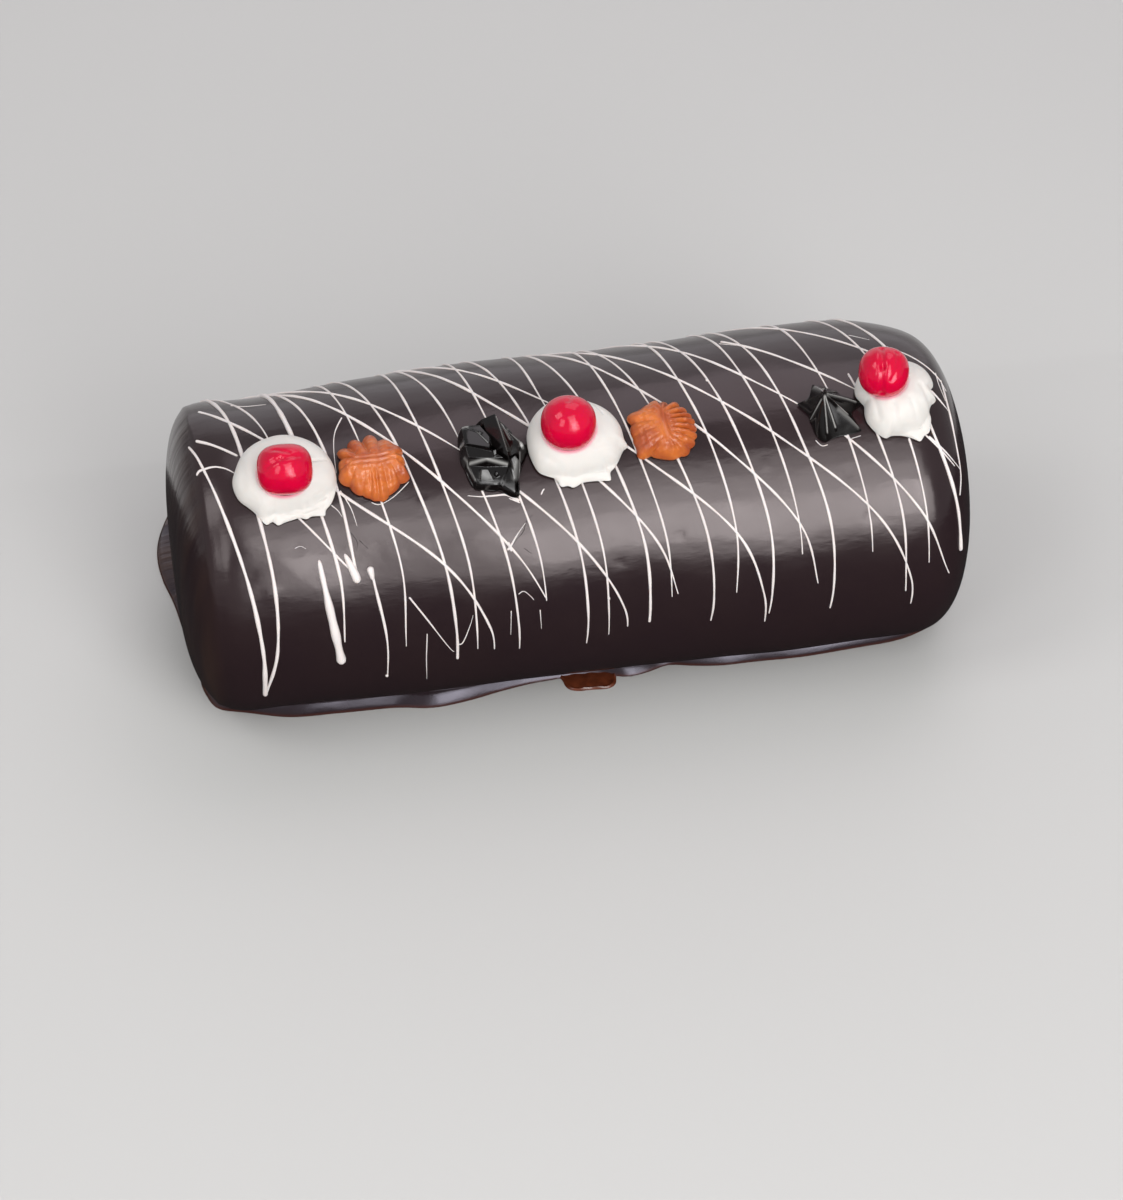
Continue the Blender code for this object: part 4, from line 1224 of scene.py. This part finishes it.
def pipe_strands(piping, settings):
    """Pipe the strands that cross the log, each stopped where a topping covers it."""
    for number, (crossings, start, stop, thin, thick) in enumerate(STRANDS):
        if start is OVER:
            start = BACK_STOP + waves(BACK_WAVES, number)
        runs = runs_in_sight(crossings, start, stop)
        for run in runs:
            if len(run) <= SHORTEST:
                continue
            first, last = ((at[1] - start) / (stop - start) for at in (run[0], run[-1]))
            # stretches before the last start as the strand does, and the last ends as it does;
            # their other ends are as thick as the strand has grown by there
            at_start = thin if run is not runs[-1] else thin + (thick - thin) * first
            at_end = thick if run is runs[-1] else thin + (thick - thin) * last
            add_strand(
                piping, run, at_start, at_end,
                settings.width, settings.step / MM, number, STRAND_LIFT,
            )


class SWISSROLL_OT_drizzle(Operator):
    """Pipe the white chocolate over the log, and scratch the fine cracks"""

    bl_idname = "swiss_roll.drizzle"
    bl_label = "Drizzle"

    def execute(self, context):
        settings = context.scene.swiss_roll_drizzle
        piping = new_piping("drizzle")
        pipe_strands(piping.data, settings)
        step = settings.step / MM / 2
        for number, (points, thin, thick) in enumerate(THREADS):
            path = smooth_path(points)
            add_strand(
                piping.data, path, thin, thick, settings.width, step, number, THREAD_LIFT,
            )
        drizzle = harden_piping(piping)
        finish_piece(drizzle, drizzle_material(settings), "roll", smooth=80)
        scratches = new_piping("glaze_cracks")
        for number, points in enumerate(CRACKS):
            path = smooth_path(points)
            add_strand(scratches.data, path, *CRACK_WIDTHS, 1, step, number, CRACK_LIFT)
        cracks = harden_piping(scratches)
        finish_piece(cracks, crack_material(), "roll", smooth=80)
        return {"FINISHED"}


# ---------------------------------------------------------------- toppings


def ring_value(turn, points):
    """Value at a turn of a smooth closed curve through points of a turn in degrees and a value."""
    held = [(way - 360, value) for way, value in points[-2:]]
    held += [*points, *[(way + 360, value) for way, value in points[:2]]]
    path = np.array(smooth_path(held))
    first = points[0][0]
    return np.interp((np.degrees(turn) - first) % 360 + first, path[:, 0], path[:, 1])


def lobed_edge(turn, lobes, pointed):
    """Reach of a lobed outline at a turn, and the depth there of the valleys between lobes."""
    first = lobes[0][0]
    spot = (np.degrees(turn) - first) % 360
    ways = np.array([lobe[0] - first for lobe in lobes] + [360])
    slot = np.clip(np.searchsorted(ways, spot, side="right") - 1, 0, len(lobes) - 1)
    share = (spot - ways[slot]) / (ways[slot + 1] - ways[slot])
    reach, notch, depth = (np.array([lobe[part] for lobe in lobes]) for part in (1, 2, 3))
    after = (slot + 1) % len(lobes)
    between = 1 - np.abs(2 * share - 1)
    valley = 1 - (1 - between) ** 2 if pointed else between ** 2
    blend = (1 - np.cos(pi * share)) / 2
    out = reach[slot] + (reach[after] - reach[slot]) * blend
    return out * (1 - notch[slot] * valley), depth[slot] * valley


def line_mark(x, y, start, end, half_width):
    """How near points are to a line between two places: 1 on it, falling to 0 beside it."""
    way = np.array(end) - np.array(start)
    share = np.clip(((x - start[0]) * way[0] + (y - start[1]) * way[1]) / (way @ way), 0, 1)
    return bell(np.hypot(x - start[0] - share * way[0], y - start[1] - share * way[1]), half_width)


def higher_of(first, second, soft):
    """The higher of two heights, with a soft join between them."""
    return (first + second + np.sqrt((first - second) ** 2 + soft ** 2) - soft) / 2


def make_dome(name, reach, rise, crest=(0, 0), at=(0, 0), lift=1.0, tuck=0.06, fine=1.0):
    """A soft closed form in a topping's own frame, on a base curved as the log.

    Its rings run out to its outline, reach at a turn, from a crest, which is a point or a line
    of the given half lengths round a place. rise gives the height at a turn, a share of the
    way out, x and y. lift is the height of its lower edge, and tuck the share that goes under.
    """
    piece = start_ball(name, int(DOME_SEGMENTS * fine), int(DOME_RINGS * fine))
    ball = points_of(piece)
    turn, _ = turn_and_reach(ball)
    down = np.arccos(np.clip(ball[:, 2], -1, 1)) / pi
    over = np.clip(down / TOP_RINGS, 0, 1) * pi / 2
    under = np.clip((down - TOP_RINGS) / EDGE_RINGS, 0, 1) * pi / 2
    below = np.clip((down - TOP_RINGS - EDGE_RINGS) / (1 - TOP_RINGS - EDGE_RINGS), 0, 1)
    share = np.sin(over)
    out = share * (1 - tuck * (1 - np.cos(under))) * (1 - below)
    opened = np.clip(out / CREST_OPENS, 0, 1)
    edge = reach(turn) * out
    x = (at[0] + crest[0] * np.cos(turn) * opened) * (1 - out) + np.cos(turn) * edge
    y = (at[1] + crest[1] * np.sin(turn) * opened) * (1 - out) + np.sin(turn) * edge
    base = np.sqrt(ROLL_RADIUS ** 2 - y ** 2) - ROLL_RADIUS
    height = np.where(under > 0, lift * np.cos(under), lift + rise(turn, share, x, y))
    move_points(piece, np.stack([x, y, base + np.where(below > 0, 0, height)], 1))
    return piece


def seat_piece(piece, x, angle):
    """Carry a topping from its own frame to its seat, and press its underside to the log."""
    matrix = seat_matrix(x, angle)
    matrix.translation *= MM
    piece.data.transform(matrix)
    spots = points_of(piece)
    off_axis = spots[:, 2] - AXIS_HEIGHT
    radius = np.hypot(spots[:, 1], off_axis)
    angle = np.degrees(np.arctan2(-spots[:, 1], off_axis))
    grow = np.maximum((log_radius(spots[:, 0], angle) - SUNK) / radius, 1)
    spots[:, 1] *= grow
    spots[:, 2] = AXIS_HEIGHT + off_axis * grow
    move_points(piece, spots)


def cherry_centre(name):
    """Middle of a cherry in mm, as a vector."""
    cream, _, along, slope, height = CHERRIES[name]
    x, angle, *_ = CREAMS[cream]
    return seat_matrix(x, angle) @ Vector((along, slope, height))


def cream_material(name, settings, cherry, radius):
    """Whipped cream, piped: white and matt, light carries through it, stained by the cherry."""
    made, tree, shader = new_material(name, {
        "Roughness": 0.55,
        "IOR": 1.4,
        "Subsurface Weight": 0.5,
        "Subsurface Radius": (1.0, 0.8, 0.7),
        "Subsurface Scale": 0.0015,
    })
    where = add_node(tree, "ShaderNodeTexCoord").outputs["Object"]
    away = add_node(tree, "ShaderNodeVectorMath", {"operation": "DISTANCE", 1: cherry}, {0: where})
    # the syrup stains a ring 1.4 mm wide round the cherry
    stain = add_node(tree, "ShaderNodeMapRange", {
        "interpolation_type": "SMOOTHSTEP",
        "From Min": radius + 0.0001, "From Max": radius + 0.0014, "To Min": 1, "To Max": 0,
    }, {"Value": away.outputs["Value"]})
    mix = add_node(tree, "ShaderNodeMix", {
        "data_type": "RGBA", 6: (*settings.colour, 1), 7: (*settings.juice, 1),
    }, {"Factor": stain.outputs[0]})
    tree.links.new(mix.outputs[2], shader.inputs["Base Color"])
    # tiny air bubbles, drawn 0.7 mm across so that they show
    bubbles = add_node(tree, "ShaderNodeTexNoise", {
        "Scale": every(0.667), "Detail": 2,
    }, {"Vector": where})
    bump = add_node(tree, "ShaderNodeBump", {
        "Strength": 0.2, "Distance": 0.00006,
    }, {"Height": bubbles.outputs[0]})
    tree.links.new(bump.outputs[0], shader.inputs["Normal"])
    return made


def make_cream(name, settings, cherry_name):
    """One rosette: a soft mound over a lower fold, creased where the nozzle passed."""
    x, angle, *_ = CREAMS[name]
    top, fold_from, fold_to, fold = CREAM_FORMS[name]
    number = int(name[-1])
    turns = np.radians(np.arange(-180, 180))
    near = bell(np.degrees(turns), CALMED)
    edge = np.fft.ifft(np.fft.fft(ring_value(turns, CREAM_EDGES[name])) * np.fft.fft(near))
    calm = np.roll(edge.real, 180) / near.sum()

    def reach(turn):
        return ring_value(turn, CREAM_EDGES[name])

    def rise(turn, share, x, y):
        # the ragged edge fades out up the mound
        inland = np.hypot(x, y) / np.interp(turn, turns, calm, period=2 * pi)
        share = inland + (share - inland) * share ** CALM_POWER
        middle, half = (fold_from + fold_to) / 2, (fold_to - fold_from) / 2
        away = np.abs(within_half_turn(np.degrees(turn) - middle))
        stepped = 1 / (1 + np.exp((away - half) / FOLD_SOFT))
        inner = np.clip(share / (1 - fold * stepped), 0, 1)
        swells = waves(CREAM_SWELLS, turn, share, number, x, y) * share
        folds = waves(CREAM_FOLDS, turn, share, number) * share ** 2
        mound = top * rounded(inner, MOUND_POWER, MOUND_ROOT) + (swells + folds) * (1 - inner ** 4)
        skirt = SKIRT_HEIGHT * rounded(share, SKIRT_POWER)
        skirt = skirt * (1 + waves(SKIRT_WAVES, turn, share, number))
        height = higher_of(mound, skirt, SKIRT_JOIN)
        for start, end, half_width, depth in CREAM_CREASES[name]:
            height = height - depth * line_mark(x, y, start, end, half_width) * (1 - share ** 8)
        return np.maximum(height, 0)

    cream = make_dome(name + "_piped", reach, rise, lift=1.3, tuck=0.08)
    smooth_out(cream, 2)
    seat_piece(cream, x, angle)
    # the cream gives way to the cherry and wells up a little round it
    radius, centre = CHERRIES[cherry_name][1], cherry_centre(cherry_name)
    away = points_of(cream) - np.array(centre)
    far = np.linalg.norm(away, axis=1)
    welled, half = WELLED
    pushed = np.where(far < radius, radius, far + welled * bell(far - radius, half))
    move_points(cream, np.array(centre) + away * (pushed / far)[:, None])
    material = cream_material(f"whipped_cream_{number}", settings, centre * MM, radius * MM)
    finish_piece(cream, material, name, smooth=80)


class SWISSROLL_OT_creams(Operator):
    """Pipe the three cream rosettes"""

    bl_idname = "swiss_roll.creams"
    bl_label = "Creams"

    def execute(self, context):
        for cherry_name, (name, *_) in CHERRIES.items():
            make_cream(name, context.scene.swiss_roll_creams, cherry_name)
        return {"FINISHED"}


# ---------------------------------------------------------------- cherries


def cherry_material(settings):
    """Glace cherry: candied in syrup, so deep red, wet-looking and a little see-through."""
    made, tree, shader = new_material("glace_cherry_candied", {
        "Roughness": 0.13,
        "IOR": 1.42,
        "Subsurface Weight": 0.2,
        "Subsurface Radius": (1.0, 0.05, 0.1),
        "Subsurface Scale": 0.002,
        "Specular Tint": (*linear("#ffc4d0"), 1),
        "Coat Weight": 0.28,
        "Coat Roughness": 0.04,
    })
    # the flesh is uneven under the skin, in patches of 5 mm
    colour_in_clouds(tree, shader, 5.26, linear("#b0002c"), settings.colour)
    return made


def towards_eye(place):
    """Axes at a place in mm: right, up and towards the camera."""
    eye = (Vector(CAMERA_PLACE) - place * MM).normalized()
    right = Vector((0, 0, 1)).cross(eye).normalized()
    return (np.array(axis) for axis in (right, eye.cross(right), eye))


def make_cherry(name, material):
    """A cherry: a ball, a little squat, with the folds left where the stone was taken out."""
    radius = CHERRIES[name][1]
    cherry = start_ball(name + "_candied", segments=96, rings=64)
    centre = cherry_centre(name)
    right, up, eye = towards_eye(centre)
    ball = points_of(cherry)
    # seen from the front it is a little square
    across, rising, deep = (ball @ axis for axis in (right, up, eye))
    square, low = CHERRY_SQUARE[name]
    round_out = (np.abs(across) ** square + np.abs(rising * low) ** square) ** (1 / square)
    reach = radius / np.sqrt(round_out ** 2 + deep ** 2)
    for *ends, width, depth in GROOVES[name]:
        first, last = (end[0] * right + end[1] * up + end[2] * eye for end in ends)
        way = last - first
        share = np.clip(((ball - first) @ way) / (way @ way), 0, 1)
        nearest = first + share[:, None] * way
        nearest /= np.linalg.norm(nearest, axis=1)[:, None]
        away = np.linalg.norm(ball - nearest, axis=1) * radius
        reach = reach - depth * bell(away, width)
    move_points(cherry, ball * reach[:, None] + np.array(centre))
    finish_piece(cherry, material, name, smooth=80)


class SWISSROLL_OT_cherries(Operator):
    """Set a candied cherry in each rosette"""

    bl_idname = "swiss_roll.cherries"
    bl_label = "Cherries"

    def execute(self, context):
        material = cherry_material(context.scene.swiss_roll_cherries)
        for name in CHERRIES:
            make_cherry(name, material)
        return {"FINISHED"}


# ---------------------------------------------------------------- stars


def caramel_material(settings):
    """Caramel chocolate, piped and set: orange-brown, smooth, with a buttery shine."""
    made, tree, shader = new_material("caramel_chocolate_piped", {
        "Roughness": 0.34,
        "IOR": 1.47,
        "Subsurface Weight": 0.2,
        "Subsurface Radius": (1.0, 0.4, 0.1),
        "Subsurface Scale": 0.0012,
        "Coat Weight": 0.15,
        "Coat Roughness": 0.15,
    })
    # butter and sugar mix unevenly, in clouds of 6 mm
    colour_in_clouds(
        tree, shader, 5.88, linear("#a04921"), settings.caramel, spread=(0.35, 0.65, 1),
    )
    return made


def dark_material(settings):
    """Dark chocolate, piped and set against a smooth sheet: black with mirror-like planes."""
    made, tree, shader = new_material("dark_chocolate_piped", {"IOR": 1.46})
    # painted highlights and reflections: its ridges and one or two facets are painted a pale grey
    # where they catch the light, in lines 0.4 mm wide
    pale = add_node(tree, "ShaderNodeAttribute", {"attribute_name": "pale"})
    mix = add_node(tree, "ShaderNodeMix", {
        "data_type": "RGBA", 6: (*settings.dark, 1), 7: (*linear("#a8a7a4"), 1),
    }, {"Factor": pale.outputs["Fac"]})
    tree.links.new(mix.outputs[2], shader.inputs["Base Color"])
    # the skin is duller in patches of 3 mm
    where = add_node(tree, "ShaderNodeTexCoord").outputs["Object"]
    haze = add_node(tree, "ShaderNodeTexNoise", {
        "Scale": every(3.33), "Detail": 2,
    }, {"Vector": where})
    gloss = add_node(tree, "ShaderNodeMapRange", {
        "From Min": 0.3, "From Max": 0.7, "To Min": 0.06, "To Max": 0.2,
    }, {"Value": haze.outputs[0]})
    tree.links.new(gloss.outputs[0], shader.inputs["Roughness"])
    return made


def paint_highlights(piece, marks):
    """Write on a mesh, as its attribute "pale", how near each point is to its painted highlights."""
    x, y, _ = points_of(piece).T
    pale = np.zeros(len(x))
    for start, end, half_width, strength in marks:
        pale = np.maximum(pale, strength * line_mark(x, y, start, end, half_width))
    piece.data.attributes.new("pale", "FLOAT", "POINT").data.foreach_set("value", pale)


def make_caramel(name):
    """A caramel star: full lobes that run down from its crest, with folds along the crest."""
    crest, at = STAR_CRESTS[name]
    spacing, wide, strong = CREST_FOLDS[name]
    lean, bend = CREST_BENDS[name]
    sway, sway_rate = CREST_SWAY
    first, deepens = CARAMEL_VALLEYS
    lies = crest[0] > crest[1]        # the crest of the other one stands up the slope

    def reach(turn):
        return lobed_edge(turn, STAR_LOBES[name], pointed=False)[0]

    def rise(turn, share, x, y):
        valley = lobed_edge(turn, STAR_LOBES[name], pointed=False)[1]
        # the valleys deepen away from the crest and run out at the edge
        deep = np.clip((share - first) / deepens, 0, 1) * rounded(share, 6)
        height = CARAMEL_HEIGHT * rounded(share, CARAMEL_POWER, CARAMEL_ROOT) - valley * deep
        # across and along the crest, which bends a little
        along, across = (x, y) if lies else (y, x)
        across = across - lean * along - bend * along ** 2
        folds = strong * np.cos(2 * pi * across / spacing + sway * np.sin(sway_rate * along))
        folds = folds * bell(across, wide) * np.exp(-(along / CREST_LENGTH) ** 4)
        calm = CARAMEL_CALM + (1 - CARAMEL_CALM) * deep
        swell = waves(CARAMEL_WAVES, x, y) * calm * (1 - share ** 10)
        return np.maximum(height + folds + swell, 0)

    star = make_dome(name + "_star", reach, rise, crest, at)
    smooth_out(star, 2)
    return star


def make_pleated(name):
    """The pleated dark star: a cone whose skin hangs from its peak to pointed lobes."""
    height, half_width = PLEAT
    set_in, run_out = PLEAT_POWERS

    def reach(turn):
        return lobed_edge(turn, STAR_LOBES[name], pointed=True)[0]

    def rise(turn, share, x, y):
        valley = lobed_edge(turn, STAR_LOBES[name], pointed=True)[1]
        top = PEAK_HEIGHT * (1 - share) ** PEAK_POWER
        top = top - valley * share ** set_in * (1 - share) ** run_out
        for end in PLEATS:
            top = top + height * line_mark(x, y, PEAK, end, half_width) * (1 - share ** 6)
        return np.maximum(top, 0)

    star = make_dome(name + "_star", reach, rise, at=PEAK, lift=0.7, tuck=0.1, fine=FINE)
    # its pale painted highlights along the ridges and on one facet
    paint_highlights(star, PAINTED_HIGHLIGHTS[name])
    return star


def make_broken(name):
    """The crumpled dark star: plates of set chocolate, broken and pushed together."""
    def reach(turn):
        return ring_value(turn, BROKEN_EDGE)

    def rise(turn, share, x, y):
        height = np.full_like(x, PLATE_BED)
        for corners, middle, way, slope in BROKEN_PLATES:
            # how far inside the nearest edge of the plate a point is, below zero outside
            inside = np.full_like(x, np.inf)
            for start, end in zip(corners, corners[1:] + corners[:1]):
                run, climb = end[0] - start[0], end[1] - start[1]
                off = run * (y - start[1]) - climb * (x - start[0])
                inside = np.minimum(inside, off / hypot(run, climb))
            middle_x, middle_y = np.mean(corners, axis=0)
            ahead = (x - middle_x) * cos(radians(way)) + (y - middle_y) * sin(radians(way))
            plate = middle - slope * ahead + PLATE_WALL * np.minimum(inside, 0)
            height = np.maximum(height, plate)
        for start, end, half_width, depth in PLATE_FOLDS:
            height = height - depth * line_mark(x, y, start, end, half_width)
        return height * rounded(share, PLATE_ROUND)

    star = make_dome(name + "_star", reach, rise, lift=0.8, fine=FINE)
    smooth_out(star, 3)
    # its pale painted highlights along the plates' edges and on a few patches
    paint_highlights(star, PAINTED_HIGHLIGHTS[name])
    return star


class SWISSROLL_OT_stars(Operator):
    """Pipe the two caramel stars and the two dark chocolate stars"""

    bl_idname = "swiss_roll.stars"
    bl_label = "Stars"

    def execute(self, context):
        settings = context.scene.swiss_roll_stars
        caramel = caramel_material(settings)
        dark = dark_material(settings)
        kinds = {
            "caramel_1": (make_caramel, caramel, "caramel", 80),
            "caramel_2": (make_caramel, caramel, "caramel", 80),
            "dark_1": (make_broken, dark, "dark_chocolate", 35),
            "dark_2": (make_pleated, dark, "dark_chocolate", 50),
        }
        for name, (make, material, slot, smooth) in kinds.items():
            x, angle, _ = STARS[name]
            star = make(name)
            seat_piece(star, x, angle)
            finish_piece(star, material, name, smooth=smooth)
        return {"FINISHED"}


# ---------------------------------------------------------------- stage


def add_softbox(name, azimuth, elevation, distance, width, height, radiance, colour):
    """A soft light that faces the roll. Azimuth runs from the front towards +X, in degrees."""
    turn, rise = radians(azimuth), radians(elevation)
    way = Vector((sin(turn) * cos(rise), -cos(turn) * cos(rise), sin(rise)))
    lamp = bpy.data.lights.new(name, "AREA")
    lamp.shape = "RECTANGLE"
    lamp.size = width
    lamp.size_y = height
    lamp.energy = radiance * pi * width * height
    lamp.color = linear(colour)
    box = bpy.data.objects.new(name, lamp)
    bpy.context.scene.collection.objects.link(box)
    box.location = way * distance
    box.rotation_euler = way.to_track_quat("Z", "Y").to_euler()
    box.visible_camera = False


def add_sheet(name, place, size, material):
    """A flat sheet of the stage, with its place and size in metres applied."""
    sheet = start_piece(name, bpy.ops.mesh.primitive_plane_add, size=1, location=place)
    sheet.scale = size
    bpy.ops.object.transform_apply(location=True, rotation=True, scale=True)
    sheet.data.materials.append(material)
    return sheet


def floor_material(settings):
    """A painted floor: pale, matt, with a barely seen mottle a third of a metre across."""
    made, tree, shader = new_material("floor_painted", {"Roughness": 0.75})
    darker = [part * FLOOR_MOTTLE for part in settings.floor]
    colour_in_clouds(tree, shader, 333, settings.floor, darker)
    return made


def card_material():
    """A matt black card."""
    return new_material("card_matt_black", {
        "Base Color": (*linear("#1c1a1a"), 1), "Roughness": 0.9,
    })[0]


def add_camera():
    """The camera at the picture's own place and angle, with its lens."""
    lens = bpy.data.cameras.new("camera")
    lens.sensor_fit = "VERTICAL"
    lens.sensor_height = SENSOR
    lens.lens = FOCUS_PIXELS / PICTURE_HEIGHT * SENSOR
    lens.clip_start = 0.01
    camera = bpy.data.objects.new("camera", lens)
    bpy.context.scene.collection.objects.link(camera)
    camera.location = CAMERA_PLACE
    camera.rotation_euler = (radians(90 - CAMERA_DOWN), 0, radians(CAMERA_TURN))
    return camera


class SWISSROLL_OT_stage(Operator):
    """Set the floor, the soft lights and the camera"""

    bl_idname = "swiss_roll.stage"
    bl_label = "Stage"

    def execute(self, context):
        settings = context.scene.swiss_roll_stage
        add_sheet("floor", FLOOR_PLACE, (FLOOR_SIZE, FLOOR_SIZE, 1), floor_material(settings))
        # a dark card before the roll, seen by reflections alone, keeps its lower front deep
        card = add_sheet("dark_card", CARD_PLACE, CARD_SIZE, card_material())
        card.visible_camera = False
        card.visible_diffuse = False
        card.visible_shadow = False
        for *place_and_size, share, colour in SOFT_BOXES:
            add_softbox(*place_and_size, settings.key * share, colour)

        world = bpy.data.worlds.new("room")
        world.use_nodes = True
        air = world.node_tree.nodes["Background"]
        air.inputs["Color"].default_value = (*linear("#f4f5f7"), 1)
        air.inputs["Strength"].default_value = settings.sky
        context.scene.world = world
        context.scene.view_settings.view_transform = "Standard"
        context.scene.camera = add_camera()
        return {"FINISHED"}


# ---------------------------------------------------------------- add-on


class SWISSROLL_PT_panel(Panel):
    """The sidebar panel with every step of the swiss roll"""

    bl_idname = "SWISSROLL_PT_panel"
    bl_label = "Chocolate Swiss Roll"
    bl_space_type = "VIEW_3D"
    bl_region_type = "UI"
    bl_category = "Swiss Roll"

    def draw(self, context):
        for operator, group in STEPS.items():
            box = self.layout.box()
            box.operator(operator.bl_idname)
            settings = getattr(context.scene, GROUPS[group])
            for key in group.__annotations__:
                box.prop(settings, key)


GROUPS = {
    GlazeSettings: "swiss_roll_glaze",
    DrizzleSettings: "swiss_roll_drizzle",
    CreamSettings: "swiss_roll_creams",
    CherrySettings: "swiss_roll_cherries",
    StarSettings: "swiss_roll_stars",
    StageSettings: "swiss_roll_stage",
}
STEPS = {
    SWISSROLL_OT_glaze: GlazeSettings,
    SWISSROLL_OT_drizzle: DrizzleSettings,
    SWISSROLL_OT_creams: CreamSettings,
    SWISSROLL_OT_cherries: CherrySettings,
    SWISSROLL_OT_stars: StarSettings,
    SWISSROLL_OT_stage: StageSettings,
}
CLASSES = (*GROUPS, *STEPS, SWISSROLL_PT_panel)


def register():
    """Register the classes and hang their settings on the scene."""
    for item in CLASSES:
        bpy.utils.register_class(item)
    for group, name in GROUPS.items():
        setattr(bpy.types.Scene, name, PointerProperty(type=group))


def unregister():
    """Take back what register gave."""
    for name in GROUPS.values():
        delattr(bpy.types.Scene, name)
    for item in reversed(CLASSES):
        bpy.utils.unregister_class(item)


def main():
    """Make every piece in order."""
    register()
    bpy.ops.swiss_roll.glaze()
    bpy.ops.swiss_roll.drizzle()
    bpy.ops.swiss_roll.creams()
    bpy.ops.swiss_roll.cherries()
    bpy.ops.swiss_roll.stars()
    bpy.ops.swiss_roll.stage()


if __name__ == "__main__":
    main()
